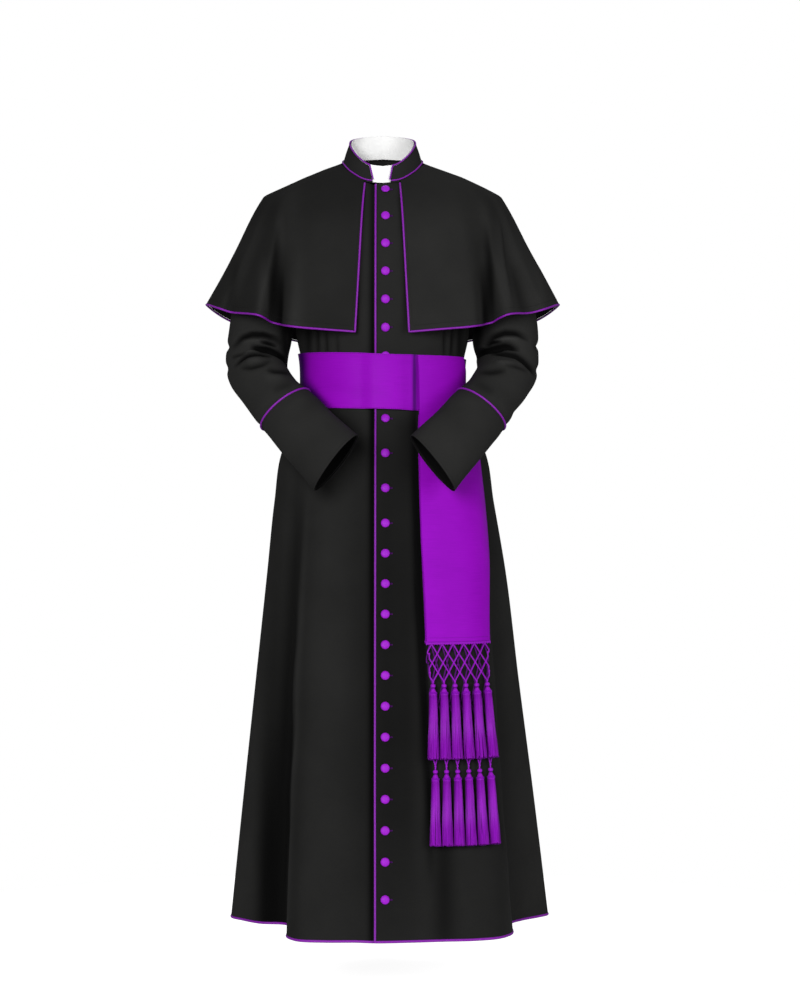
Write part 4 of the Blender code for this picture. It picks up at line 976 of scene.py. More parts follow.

# a row: width, depth, lean and painted shade (a negative one is painted highlight, None takes it from the
# depth), then its points as seen from that side
BODY_CREASES = crease_table(
    front=(
        # gathers that the sash draws in over the waist, with painted shade in them
        (8, -3, 0, 0.6, (-142, -290), (-140, -380)),
        (4, -5, 0, 0.55, (-124, -305), (-122, -380)),
        (3.4, -5, 0, 0.5, (-107, -315), (-105, -380)),
        (4, -3, 0, 0.3, (-86, -325), (-85, -380)),
        (3.6, -5, 0, 0.5, (118, -310), (117.5, -380)),
        (4.4, -5, 0, 0.6, (134, -300), (131, -380)),
        (8, -3, 0, 0.6, (148, -290), (147, -380)),
        # painted shade down the closing and beside the sash's fall, painted shadows of the closing's edge
        # and of the fall's edge on the skirt, and a hollow of the skirt with painted shade in it
        (30, 0, 0, 0.54, (8, -440), (10, -900), (10, -1450)),
        (28, 0, 0, 0.54, (44, -440), (46, -900), (46, -1450)),
        (38, 0, 0, 0.4, (-28, -460), (-32, -900), (-34, -1460)),
        (5.6, 0, 0.4, 1.15, (-17.2, 200), (-17.2, -700), (-16.8, -1900)),
        (7.8, 0, 0.3, 1.9, (58, -400), (65.5, -660), (69.5, -820), (79.5, -1007), (87.5, -1192),
         (89, -1330)),
        (21, -3, 0, 0.66, (112, -1150), (113, -1300), (114, -1500)),
        # the front panel's turned edge: its painted shadow on the side panel beside it, and a low ridge
        # along its rim with a painted highlight
        (8.6, 0, 0.42, 0.86, (-148, -640), (-158.2, -821.5), (-165.6, -1006.5), (-173.2, -1191.5),
         (-180.8, -1376.5), (-183, -1700)),
        (14.5, 0, 0.15, 0.8, (-156, -620), (-169, -821.5), (-179, -1006.5), (-188, -1191.5),
         (-196, -1376.5), (-198, -1800)),
        (20, 0, 0, 0.46, (-196, -700), (-203.8, -1006.5), (-207.5, -1191.5), (-211.2, -1376.5),
         (-213, -1900)),
        (24, 0, 0, 1.15, (-200, -1050), (-208.5, -1191.5), (-211, -1376.5), (-213, -1950)),
        (5.6, 1.4, 0, -0.5, (-138, -600), (-148.5, -821.5), (-156, -1006.5), (-163, -1191.5),
         (-170, -1376.5), (-173, -1700)),
        # in the shadow of the forearms, below the sash
        (28, 0, 0, 0.5, (-120, -455), (-70, -500), (-35, -560)),
        (20, 0, 0, 0.35, (40, -470), (50, -520), (50, -600)),
        (20, 0, 0, 0.4, (-165, -520), (-120, -590), (-100, -640)),
        # in the shadow of the cape's front edges and of its hem
        (6.5, 0, 0, 0.62, (-37, -50), (-38.5, -118), (-48, -330)),
        (6.5, 0, 0, 0.62, (37, -50), (38.5, -118), (48, -330)),
    ),
    back=(
        (4.5, -5, 0, None, (-110, -305), (-108, -380)),
        (4.5, -4, 0, None, (-62, -315), (-62, -380)),
        (4.5, -4, 0, None, (40, -315), (40, -380)),
        (4.5, -5, 0, None, (106, -305), (105, -380)),
    ),
)


def robe_fade(points):
    """Little relief under the sash, and none at the closing, where buttons and cord lie."""
    sash = 0.8 * smoothstep(1.0 - np.abs(points[..., 2] + 0.42) / 0.09)
    closing = smoothstep((np.abs(points[..., 0] - BUTTON_X) - 0.022) / 0.05)
    return (1.0 - sash) * np.where(points[..., 1] < 0.0, closing, 1.0)


def robe_painted_shade(points):
    """Painted shade: the front darkens towards the hem, and the gores at the sides get a little painted
    light.
    """
    low = smoothstep((-0.8 - points[..., 2]) / 0.45)
    gore = smoothstep((np.abs(points[..., 0]) - 0.215) / 0.03)
    return np.where(points[..., 1] < 0.02, 0.2 * low * (1.0 - gore), 0.0) - 0.12 * gore


def build_front(node, side, first_x, sink):
    """A front panel from its closing edge to the side seam."""
    shares = packed_ends(ROBE_COLUMNS, 0.5)
    first = place_at_x(first_x, ROBE_ROWS)[:, None]
    places = lerp(first, side * (SIDE_SEAM - HALF_SEAM), shares)
    if side < 0:
        places, shares = places[:, ::-1], shares[::-1]
    outer = body_point(places, ROBE_ROWS[:, None])
    outer = outer - sink(outer[..., 0])[..., None] * grid_normals(outer)
    fade = robe_fade(outer) * smoothstep((1.0 - shares) / SEAM_FADE)
    outer, shade = dressed(node, outer, BODY_CREASES, fade=fade, painted_base_shade=robe_painted_shade(outer))
    shell(node, outer, CLOTH, WOOL, shade=shade)
    return outer


def underlap_sink(x):
    """The right front lies under the left one, with a groove beside the closing's edge."""
    dip, groove = CLOTH + 0.0005, 0.0026
    return dip * smoothstep((x + 0.038) / 0.018) + groove * smoothstep((x + 0.0245) / 0.009)


def build_back():
    """The back, with a strip of it turned in behind each side seam."""
    shares = packed_ends(ROBE_COLUMNS + 20, 0.5)
    places = lerp(SIDE_SEAM + HALF_SEAM, 2.0 - SIDE_SEAM - HALF_SEAM, shares)
    under = SIDE_SEAM - np.array((UNDERLAP_WIDTH, 0.0001))
    places = np.concatenate((under, places, 2.0 - under[::-1]))
    places = np.where(places > 1.0, places - 2.0, places)
    shares = np.concatenate(((0.0, 0.0), shares, (1.0, 1.0)))
    turned_in = np.zeros((len(places), 1))
    turned_in[[0, 1, -2, -1]] = CLOTH + SEAM_GAP
    rows = ROBE_ROWS[:, None]
    outer = body_point(places, rows) - turned_in * body_normal(places, rows)
    to_seam = smoothstep(np.minimum(shares, 1.0 - shares) / SEAM_FADE)
    outer, shade = dressed("back", outer, BODY_CREASES, fade=robe_fade(outer) * to_seam)
    shell("back", outer, CLOTH, WOOL, shade=shade)
    return outer


left_grid = build_front("front_left", 1.0, FRONT_EDGE_X, np.zeros_like)
right_grid = build_front("front_right", -1.0, UNDERLAP_X, underlap_sink)
back_grid = build_back()


# ---------------------------------------------------------------- sleeves and cuffs

SLEEVE_ANGLES = np.linspace(0.0, 360.0, 121)[:-1]
INSIDE_SHADE = 0.85         # painted shade on the inside of each sleeve and cuff

# creases at the elbows, with painted shade in their troughs and painted highlights on their ridges; the
# last front row of each side is painted shade only, where the sleeve's inner side lies against the body
SLEEVE_CREASES = {
    "right": crease_table(
        front=(
            (5.6, -7, 0.3, 1.15, (-288, -350), (-268, -330), (-246, -323.5), (-222, -324.5), (-200, -331),
             (-186, -342)),
            (5.6, -14, 0.3, 2.6, (-250, -347.8), (-234, -350), (-213, -352.8), (-198, -359), (-186, -367.5),
             (-172, -379), (-150, -392)),
            (3.6, -4.5, 0, 1.05, (-232, -339), (-214, -341.5), (-196, -347)),
            (4.4, -8, 0.3, 1.3, (-281, -386), (-262, -368), (-248, -362.5), (-230, -361.8), (-206, -368)),
            (5.2, -4, 0, 0.8, (-269.3, -388), (-245.4, -389.5), (-222, -384), (-208, -374)),
            (6.4, -4, 0, 0.9, (-216, -392.5), (-198, -398.5), (-168, -398.5)),
            (3.6, -2, 0, 0.6, (-288, -368), (-270, -364), (-256, -361)),
            (3, 2, 0, -0.45, (-256, -356), (-228, -358)),
            (6, 3, 0, None, (-256, -377), (-225, -374)),
            (5.6, 3.6, 0, -0.4, (-268, -337), (-210, -335)),
            (8, -3.2, 0, 0.34, (-202.1, -437.1), (-164, -422)),
            (10, 3, 0, None, (-225, -406), (-180, -406)),
            (10.5, 0, 0, 0.8, (-182, -270), (-186, -330), (-178, -390)),
        ),
        right=(
            (7, -5, 0, None, (-30, -352), (4, -345), (40, -356)),
            (8, -4, 0, None, (-34, -390), (4, -386), (36, -398)),
        ),
        back=(
            (8, -5, 0, 0.7, (-262, -330), (-230, -318), (-200, -330)),
            (7, -7, 0, 1.1, (-272, -372), (-235, -360), (-200, -372)),
            (9, 3, 0, None, (-268, -300), (-220, -290)),
        ),
    ),
    "left": crease_table(
        front=(
            (5.6, -7, -0.3, 1.15, (190, -348), (206, -332), (229, -323.5), (253, -324), (278, -336)),
            (5.4, -14, -0.2, 2.2, (140, -380), (166, -370), (188, -358), (210.6, -351.5), (233, -347.5),
             (260, -354.5)),
            (4, -4.5, 0, 1.1, (190, -348), (204, -340), (226, -338.5)),
            (5.6, -9.5, -0.2, 1.8, (200, -360), (230, -362.5), (250, -366), (264, -375), (278, -388),
             (290, -404)),
            (4, -2, 0, 0.6, (226, -387), (248, -388), (276, -396)),
            (6.4, -4.5, 0, 0.8, (178, -399), (200, -399), (232, -395)),
            (6, 3.2, 0, -0.36, (210, -380), (250, -383)),
            (3.2, 2, 0, -0.45, (225, -356), (260, -360)),
            (5.6, 3.6, 0, -0.4, (205, -340), (235, -333), (260, -336)),
            (9, -3.4, 0, 0.34, (170, -422), (208, -440)),
            (10.5, 0, 0, 0.8, (180, -270), (182, -330), (176, -390)),
        ),
        left=(
            (7, -5, 0, None, (-36, -350), (0, -342), (38, -352)),
            (8, -4, 0, None, (-40, -392), (4, -390), (30, -400)),
        ),
        back=(
            (8, -5, 0, 0.7, (200, -326), (232, -316), (264, -332)),
            (7, -7, 0, 1.1, (206, -374), (240, -362), (274, -370)),
            (9, 3, 0, None, (216, -288), (270, -302)),
        ),
    ),
}


CUFF_CREASES = {
    "right": crease_table(
        front=(
            (16, -1.2, 0, None, (-110, -455), (-150, -480), (-170, -500)),
            (12, 1.2, 0, None, (-140, -440), (-175, -470)),
        ),
    ),
    "left": crease_table(
        front=(
            (16, -1.2, 0, None, (105, -465), (140, -490), (155, -515)),
            (12, 1.2, 0, None, (150, -440), (185, -475)),
        ),
    ),
}


def sleeve_angles(side):
    """Angles round a sleeve, in the order that keeps its grid facing outward."""
    return SLEEVE_ANGLES if side < 0 else SLEEVE_ANGLES[::-1]


def build_sleeve(name, side):
    """A sleeve from the armhole into the cuff, with its rows close together at the elbow."""
    node = "sleeve_" + name
    stretches = ((0.0, 1.0, 12), (1.0, 3.8, 30), (3.8, 8.6, 110), (8.6, SLEEVE_END, 36))
    rows = np.concatenate([np.linspace(*stretch)[:-1] for stretch in stretches] + [[SLEEVE_END]])
    rows = rows[:, None]
    tuck = (CUFF_CLOTH + SEAM_GAP) * smoothstep((rows - CUFF_START + 0.35) / 0.3)
    outer = sleeve_point(side, rows, sleeve_angles(side), -tuck)
    fade = 1.0 - smoothstep((rows - CUFF_START + 0.9) / 0.5)
    # the last argument, -0.36, is painted light over the whole sleeve
    outer, shade = dressed(node, outer, SLEEVE_CREASES[name], True, 0.12, 0.0014, fade, -0.36)
    shell(node, outer, CLOTH, WOOL, True, shade, INSIDE_SHADE)


def build_cuff(name, side):
    node = "cuff_" + name
    rows = np.linspace(CUFF_START, CUFF_END, 40)[:, None]
    outer = sleeve_point(side, rows, sleeve_angles(side))
    fade = smoothstep((rows - CUFF_START) / 0.3)
    # the last argument, -0.26, is painted light over the whole cuff
    outer, shade = dressed(node, outer, CUFF_CREASES[name], True, 0.11, 0.0008, fade, -0.26)
    shell(node, outer, CUFF_CLOTH, WOOL, True, shade, INSIDE_SHADE)
    return outer


def build_cuff_piping(name, side):
    lift = PIPING_RADIUS - 0.5 * CUFF_CLOTH
    angles = np.linspace(0.0, 360.0, 145)[:-1]
    edge = sleeve_point(side, CUFF_START, angles, lift)
    above = sleeve_point(side, CUFF_START - 0.1, angles, lift)
    line = edge + (PIPING_RADIUS + SEAM_GAP) * unit(above - edge)
    node = "piping_cuff_" + name
    cord(node + "_cord", node, line, PIPING_RADIUS, closed=True)


cuff_grids = []
for side_name, side_sign in SIDES:
    build_sleeve(side_name, side_sign)
    cuff_grids.append(build_cuff(side_name, side_sign))
    build_cuff_piping(side_name, side_sign)


# ---------------------------------------------------------------- collar

def build_collar():
    shares, heights = packed_ends(150, 0.6)[None], np.linspace(1.0, 0.0, 22)[:, None]
    outer = collar_point(shares, heights)
    crown = 0.0009 * np.sin(math.pi * heights)
    outer = outer + crown[..., None] * grid_normals(outer)
    shell("collar", outer, COLLAR_CLOTH, WOOL)
    return outer


def build_collar_insert():
    """The white band stands a little higher than the collar, so a thin rim of it shows."""
    clear, thick, rise = COLLAR_CLOTH + 0.0021, 0.0012, 0.0028
    degs = np.linspace(-180.0, 180.0, 181)[:-1]
    heights = np.linspace(1.0, 0.06, 20)[:, None]
    outer = neck_point(degs, heights, -clear) + xyz(0.0, 0.0, rise * smoothstep(heights))
    shell("collar_insert", outer, thick, WHITE, True, name="collar_band")


def build_collar_pipings():
    """One cord lies along the collar's seam, one along its ends and top edge."""
    radius = COLLAR_PIPING_RADIUS
    out = radius + SEAM_GAP
    middle = 0.3 * radius - 0.5 * COLLAR_CLOTH
    seam = collar_point(np.linspace(0.0, 1.0, 150), 0.13, out + 0.0003)
    cord("collar_seam_cord", "piping_collar_seam", seam, radius)
    shares = np.linspace(0.0, 1.0, 140)
    top = collar_point(shares, 1.0, middle)
    along = np.gradient(collar_point(shares, 1.0), axis=0)
    outward = collar_point(shares, 1.0, 0.01) - collar_point(shares, 1.0)
    top = top + out * unit(np.cross(outward, along))
    left_way = np.array((-out - 0.0003, 0.0, 0.0))
    heights = np.linspace(0.2, 0.93, 16)
    left_end = collar_point(0.0, heights, middle) + left_way
    right_end = collar_point(1.0, heights[::-1], middle) - left_way
    line = np.concatenate((left_end, top[:1] + 0.7 * left_way, top[1:-1], top[-1:] - 0.7 * left_way,
                           right_end))
    cord("collar_edge_cord", "piping_collar_edge", spaced(line, 0.0025), radius)


collar_grid = build_collar()
build_collar_insert()
build_collar_pipings()


# ---------------------------------------------------------------- cape

CAPE_DOWN = np.concatenate((np.linspace(0.0, 0.45, 31)[:-1], np.linspace(0.45, 1.0, 46)))
CAPE_COUNT = 330

CAPE_CREASES = crease_table(
    front=(
        # the wearer's right: the sharp edge of the front's flat part and the flutes beside it, with painted
        # shade in the hollows and painted highlights on the ridges
        (8.8, -4, 0.1, 0.78, (-199, -120), (-195, -180), (-195.5, -250), (-195.5, -380)),
        (9, -2, 0, 0.8, (-196.5, -200), (-196.5, -270), (-195.5, -440)),
        (21, 1.4, 0, -0.7, (-172, 0), (-169, -200), (-165, -460)),
        (11, 2.4, 0, -0.5, (-224, -170), (-224, -300), (-224, -380)),
        (6, 0.6, 0, -0.45, (-213, -210), (-213, -290), (-213, -400)),
        (9, -3, 0, 0.34, (-276, -180), (-288, -310)),
        (30, -2, 0, 0.1, (-150, -90), (-150, -180)),
        # the wearer's left, with painted shade and painted highlights likewise
        (9.2, -4, 0, 0.78, (190, -110), (195.5, -180), (197.5, -250), (198.5, -380)),
        (10, -2, 0, 0.66, (195, -190), (196.5, -260), (198, -440)),
        (10, 1, 0, -0.1, (166, -150), (170, -260), (173, -420)),
        (5, 0.6, 0, -0.3, (180, -230), (183, -290), (183, -400)),
        (7, 4, 0.45, None, (218, -105), (226, -200), (240, -295)),
        (11, -3, 0, 0.34, (248, -190), (268, -300)),
        (26, -2.2, 0, 0.1, (120, -130), (150, -220)),
        (10, 2, 0, None, (290, -190), (308, -280)),
    ),
    back=(
        (14, -4, 0, None, (-100, -120), (-118, -320)),
        (14, -4, 0, None, (92, -130), (126, -315)),
        (16, 3, 0, None, (0, -110), (4, -330)),
    ),
)


def cape_places():
    shares = packed_ends(CAPE_COUNT, 0.4)
    places = lerp(0.0, 2.0, shares)
    places[0], places[-1] = 1e-6, 2.0 - 1e-6
    return np.where(places > 1.0, places - 2.0, places)


def build_cape():
    places = cape_places()
    outer = cape_point(places, CAPE_DOWN)
    edge = np.minimum(np.arange(CAPE_COUNT), np.arange(CAPE_COUNT)[::-1])
    fade = smoothstep(edge / 8.0)[None] * smoothstep(CAPE_DOWN / 0.12)[:, None]
    # painted shade over the cape, as the light falls: darker on the wearer's right and on the yoke, lighter
    # on the wearer's left
    side_share = smoothstep(0.5 + outer[..., 0] / 0.16)
    yoke = smoothstep((outer[..., 2] + 0.15) / 0.07)
    painted_base_shade = 0.16 - 0.32 * side_share + 0.18 * yoke
    outer, shade = dressed("cape", outer, CAPE_CREASES, False, 0.15, 0.0012, fade, painted_base_shade)
    shell("cape", outer, CAPE_CLOTH, WOOL, shade=shade)
    return outer


def build_cape_piping(outer):
    """One cord runs down both front edges of the cape and along its hem."""
    middle = 0.5 * CAPE_CLOTH * grid_normals(outer)
    out = PIPING_RADIUS + SEAM_GAP
    left = outer[:, 0] - middle[:, 0] + out * unit(outer[:, 0] - outer[:, 2])
    right = outer[:, -1] - middle[:, -1] + out * unit(outer[:, -1] - outer[:, -3])
    hem = outer[-1] - middle[-1] + out * unit(outer[-1] - outer[-3])
    drop = xyz(0.0, 0.0, -out)
    first = int(np.searchsorted(CAPE_DOWN, 0.022))
    line = np.concatenate((right[first:], right[-1:] + drop, hem[::-1][1:-1], left[-1:] + drop,
                           left[first:][::-1]))
    cord("cape_cord", "piping_cape", spaced(line, 0.004), PIPING_RADIUS)


cape_grid = build_cape()
build_cape_piping(cape_grid)


# ---------------------------------------------------------------- piping of the front and hem

def build_front_piping():
    out = PIPING_RADIUS + SEAM_GAP
    down = np.concatenate((np.linspace(0.03, 1.0, 60)[:-1], np.linspace(1.0, 2.0, 280)))
    place = place_at_x(FRONT_EDGE_X - out, down)
    line = body_point(place, down) + 0.0004 * body_normal(place, down)
    tucked = 0.0008 + 0.0007 * smoothstep((-1.1 - line[:, 2]) / 0.3)
    line = line + tucked[:, None] * xyz(1.0, 0.0, 0.0)
    line = np.concatenate((line, line[-1:] - xyz(0.0, 0.0, 2.0 * out)))
    cord("front_cord", "piping_front", line, PIPING_RADIUS)


def build_hem_piping():
    """The cord follows the hem of each panel, from the left front round to the right front."""
    hems = [grid[-1] - 0.5 * CLOTH * grid_normals(grid)[-1]
            for grid in (left_grid, back_grid[:, 2:-2], right_grid)]
    seen = hems[2][hems[2][:, 0] < -0.0118]
    line = np.concatenate((hems[0], hems[1], seen)) + xyz(0.0, 0.0, -PIPING_RADIUS - SEAM_GAP)
    cord("hem_cord", "piping_hem", spaced(line, 0.004), PIPING_RADIUS + 2.0 * SEAM_GAP)


build_front_piping()
build_hem_piping()


# ---------------------------------------------------------------- sash

SASH_CREASES = crease_table(
    front=(
        (10, -1.2, 0, 0.05, (-140, -420), (-60, -436), (20, -438)),
        (12, 1, 0, 0, (-130, -392), (-50, -384)),
        # in the shadow of the forearms
        (14, 0, 0, 1, (-154, -300), (-151, -430), (-125, -500)),
        (11, 0, 0, 0.95, (-152, -405), (-128, -440), (-90, -490)),
        (9, 0, 0, 0.9, (158, -300), (154, -430), (130, -500)),
        # painted shadow on the band under the edge of the fall
        (4, 0, 0, 1, (60, -300), (60, -540)),
    ),
    back=(
        (10, -1.8, 0, 0.05, (-100, -410), (60, -424)),
    ),
)


def build_sash_band():
    count = 280
    places = -1.0 + 2.0 * (np.arange(count) + 0.5) / count
    heights = packed_ends(26, 0.6)[:, None]
    lift = SATIN - 0.0005 * (np.exp(-heights / 0.03) + np.exp(-(1.0 - heights) / 0.03))
    outer = sash_point(places, heights, lift)
    outer, shade = dressed("sash_band", outer, SASH_CREASES, True, 0.14, 0.0006)
    shell("sash_band", outer, SATIN, SILK, True, shade)
    return outer


def fall_lift(fall, z):
    return lerp(fall.top_lift, fall.lift, smoothstep((fall.top_z - z) / LIFT_RUN))


def build_fall(fall):
    shares = packed_ends(44, 0.7)[None]
    heights = np.linspace(fall.top_z, fall.foot_z, 150)[:, None]
    wave = 0.001 * np.sin(math.pi * (2.2 * shares + 0.4)) * smoothstep((fall.top_z - heights) / 0.2)
    outer = fall_point(fall, shares, heights, fall_lift(fall, heights) + wave)
    shell("fall_" + fall.name, outer, SATIN, SILK)
    return outer


sash_grid = build_sash_band()
fall_grids = [build_fall(fall) for fall in FALLS]


# ---------------------------------------------------------------- knotted net and tassels

NET_STRAND = 0.00095        # radii of a net cord's strand and of the thread laid beside it
LAID_THREAD = 0.0006
LAID_SHIFT = 0.0009
CROSSING_LIFT = 0.00035
KNOT_LENGTH = 0.0054
KNOT_RADIUS = 0.0019
HEADER_RADIUS = 0.0015
TASSEL_THREADS = 84
GOLDEN_TURN = 2.399963      # angle from one thread to the next, which spreads them evenly


def add_ball(joined, centre, along, length, radius, rings=9, sides=12, wraps=0.0, groove=0.08,
             shade=0.0):
    """A rounded knot or bead, longer along one way, with the turns of its thread as grooves."""
    t = np.linspace(0.04, 0.96, rings)
    line = centre + (t[:, None] - 0.5) * length * along
    profile = np.sin(math.pi * t) ** 0.55 * radius
    profile = profile * (1.0 + groove * np.cos(2.0 * math.pi * wraps * t))
    joined.rings(tube_rings(line, profile, sides), shade=shade)


def net_cell(fall):
    """A net's half pitch and row height, and the half height of its knots."""
    left, right = fall_edges(-fall.foot_z)
    half_pitch = 0.5 * float(right - left) / TASSELS_PER_FALL
    row = fall.net_height / fall.net_rows
    return half_pitch, row, 0.5 * NET_CORD * math.hypot(half_pitch, row) / half_pitch


def build_net(fall):
    """Crossing cords, tied in a knot wherever two meet, under a wrapped header."""
    top_z = fall.foot_z - SEAM_GAP - NET_HEADER
    half_pitch, row, _ = net_cell(fall)
    width = 2.0 * TASSELS_PER_FALL * half_pitch

    def place(x, drop, lift=0.0):
        drop = np.asarray(drop)
        hang = lerp(fall.lift, fall.fringe_lift, (np.maximum(drop, 0.0) / fall.net_height) ** 2)
        return fall_point(fall, np.asarray(x) / width, top_z - drop,
                          hang - 0.5 * NET_THICKNESS + lift)

    joined = Joined()
    knots = [(k, j) for j in range(fall.net_rows + 1) for k in range(2 * TASSELS_PER_FALL + 1)
             if (j + k) % 2 == (1 + fall.net_rows) % 2]
    for k, j in knots:
        for way in (-1, 1):
            if (k + way, j + 1) not in knots:
                continue
            t = np.linspace(0.0, 1.0, 9)
            margin = 0.5 * half_pitch * min(j + 0.5, 1.0)
            x = np.clip((k + way * t) * half_pitch, margin, width - margin)
            drop = (j + t) * row
            over = way * (-1) ** j * CROSSING_LIFT * np.cos(math.pi * t)
            # painted shade on the rear net's cords where they hang behind the front fringe; the thread laid
            # beside each cord is always at least 0.35 darker
            behind = 0.0
            if fall.name == "rear":
                behind = 0.7 * smoothstep((0.93 - drop / fall.net_height) / 0.05)
            joined.rings(tube_rings(place(x, drop, over), NET_STRAND, 8, twist=3.0), shade=behind)
            beside = place(x + LAID_SHIFT * way, drop - LAID_SHIFT, over)
            joined.rings(tube_rings(beside, LAID_THREAD, 6, twist=3.0),
                         shade=np.maximum(behind, 0.35))
        if j:
            x = min(max(k, 0.5), 2 * TASSELS_PER_FALL - 0.5) * half_pitch
            heart = place(x, j * row, 0.0003)
            slope = unit(place(x, j * row + 0.002) - heart)
            # painted shade on the rear net's knots that hang behind the front fringe
            hidden = fall.name == "rear" and j < fall.net_rows
            add_ball(joined, heart, slope, KNOT_LENGTH, KNOT_RADIUS, wraps=3.0,
                     shade=0.82 * hidden)
    # the header: a cord wrapped with thread, one either side of it and stitches down over it
    header = place(np.linspace(-0.0004, width + 0.0004, 120), -0.5 * NET_HEADER)
    radius = HEADER_RADIUS * (1.0 + 0.14 * np.cos(np.arange(120) * 2.1))
    joined.rings(tube_rings(header, radius, 10))
    for lift in (-0.0014, 0.0014):
        line = place(np.linspace(0.0, width, 90), -0.5 * NET_HEADER + lift)
        joined.rings(tube_rings(line, 0.0008, 6, twist=40.0))
    for k in range(4 * TASSELS_PER_FALL + 1):
        x = np.full(5, k * width / (4 * TASSELS_PER_FALL))
        drop = np.linspace(-NET_HEADER, 0.001, 5)
        joined.rings(tube_rings(place(x, drop, 0.0011), 0.0007, 5))
    joined.piece("net_" + fall.name + "_cords", FRINGE, "net_" + fall.name, 70.0)


def build_tassel(fall, index):
    """A knot, a bound head and its threads, which spread a little and end unevenly."""
    random = np.random.default_rng(100 * (fall.name == "rear") + index)
    share = (index + 0.5) / TASSELS_PER_FALL
    top_z = fall.foot_z - 2.0 * SEAM_GAP - NET_HEADER - fall.net_height - net_cell(fall)[2]
    foot_radius = TASSEL_TOP_RADIUS * FOOT_SPREAD
    lift = fall.fringe_lift - 0.5 * NET_THICKNESS
    top = fall_point(fall, share, top_z, lift)
    foot_share = 0.5 + TASSEL_FAN * (share - 0.5)
    foot = fall_point(fall, foot_share, top_z - TASSEL_LENGTH, lift + foot_radius)
    along = unit(foot - top)
    side_way = unit(np.cross(along, np.array((0.0, 1.0, 0.0))))
    front_way = np.cross(side_way, along)
    length = np.linalg.norm(foot - top)
    joined = Joined()

    def at(drop):
        return top + np.asarray(drop)[..., None] * along

    def add_part(start, end, radius, sides=18, count=9, shade=0.0):
        """A round part of the tassel between two drops below its top."""
        joined.rings(tube_rings(at(np.linspace(start, end, count)), radius, sides), shade=shade)

    wound = np.cos(np.arange(9) * math.pi)      # the turns of thread round a binding
    bell = lerp(0.0032, TASSEL_TOP_RADIUS, np.sin(np.linspace(0.0, 0.5 * math.pi, 12)))
    core_ends = np.array((0.018, length - 0.01))
    core = np.linspace(*(lerp(0.75, 0.75 * FOOT_SPREAD, core_ends / length)
                         * TASSEL_TOP_RADIUS), 6)
    # from the top: its link to the net, knot, bound neck, bell, the bell's binding and the core; the neck
    # and the core carry painted shade
    add_part(-0.0045, 0.002, 0.0013, 10, 4)
    add_ball(joined, at(0.0042), along, 0.0088, 0.0046, 12, 14, 4.0, 0.05)
    add_part(0.007, 0.0112, 0.0031 * (1.0 + 0.1 * wound), 14, shade=0.45)
    add_part(0.0095, TASSEL_HEAD_LENGTH + 0.004, bell, count=12)
    add_part(0.016, 0.02, (TASSEL_TOP_RADIUS + 0.0004) * (1.0 + 0.05 * wound))
    add_part(*core_ends, core, 12, 6, shade=0.75)
    t = np.linspace(0.0, 1.0, 9)
    for k in range(TASSEL_THREADS):
        spread = math.sqrt((k + 0.5) / TASSEL_THREADS)
        out = lerp(0.86, 1.0, spread) if k % 4 else 0.8 * spread
        start = 0.019 - 0.002 * random.random()
        end = length - 0.004 * random.random() ** 2
        swell = lerp(0.9, FOOT_SPREAD, t ** 0.8) * TASSEL_TOP_RADIUS * out
        sway = 0.0007 * np.sin(2.0 * math.pi * (t * random.uniform(0.7, 1.6) + random.random())) * t
        angle = GOLDEN_TURN * k + random.normal(scale=0.05) + 0.25 * random.normal() * t ** 2
        line = (at(lerp(start, end, t)) + ((swell + sway) * np.cos(angle))[:, None] * side_way
                + ((swell - sway) * np.sin(angle))[:, None] * front_way)
        # painted shade on the threads at the tassel's sides and just below its head, plus a random darkness
        # from one thread to the next
        edge = abs(math.cos(float(angle[4])))
        dark = 0.42 * edge ** 3 + 0.28 * random.random() ** 1.5 + 0.16 * np.exp(-t / 0.04)
        joined.rings(tube_rings(line, lerp(0.00075, 0.00095, t), 4, twist=2.0),
                     shade=np.clip(dark, 0.0, 0.9))
    node = "tassel_%s_%d" % (fall.name, index + 1)
    joined.piece(node + "_threads", FRINGE, node, 70.0)


for fall in FALLS:
    build_net(fall)
    for tassel in range(TASSELS_PER_FALL):
        build_tassel(fall, tassel)


# ---------------------------------------------------------------- buttons and buttonholes

BUTTON_SIDES = 28
BUTTON_PROFILE = (          # shares of the button's radius and of its height
    (0.42, 0.02), (0.5, 0.1), (0.8, 0.22), (0.95, 0.32), (1.0, 0.42), (0.985, 0.53),
    (0.93, 0.66), (0.82, 0.79), (0.66, 0.89), (0.46, 0.96), (0.24, 0.99), (0.04, 1.0),
)
HOLE_LENGTH = 0.0125
HOLE_HALF_WIDTH = 0.0009
HOLE_STITCHES = 17

def button_frame(x, z):
    """Where a button sits on the left front, with its outward, sideways and upward directions."""
    here = on_front(x, z)
    out = body_normal(*here)
    side_way = unit(np.cross(out, (0.0, 0.0, 1.0)))
    return body_point(*here), out, side_way, np.cross(side_way, out)


def build_button(index, z):
    """Cloth gathered over a domed mould: a tight crown, a turned edge and small puckers."""
    centre, out, side_way, up_way = button_frame(BUTTON_X, z)
    random = np.random.default_rng(index)
    turn = 2.0 * math.pi * np.arange(BUTTON_SIDES) / BUTTON_SIDES
    puckers = 9 + index % 3
    rings = []
    for wide, high in BUTTON_PROFILE:
        pleat = 0.035 * (1.0 - high) * np.cos(puckers * turn + random.uniform(0.0, 6.0))
        radius = BUTTON_RADIUS * wide * (1.0 + pleat)
        rings.append(centre + (radius * np.cos(turn))[:, None] * side_way
                     + (radius * np.sin(turn))[:, None] * up_way
                     + (SEAM_GAP + high * BUTTON_HEIGHT) * out)
    joined = Joined()
    joined.rings(np.array(rings))
    node = "button_%02d" % index
    joined.piece(node + "_cover", BUTTON, node)


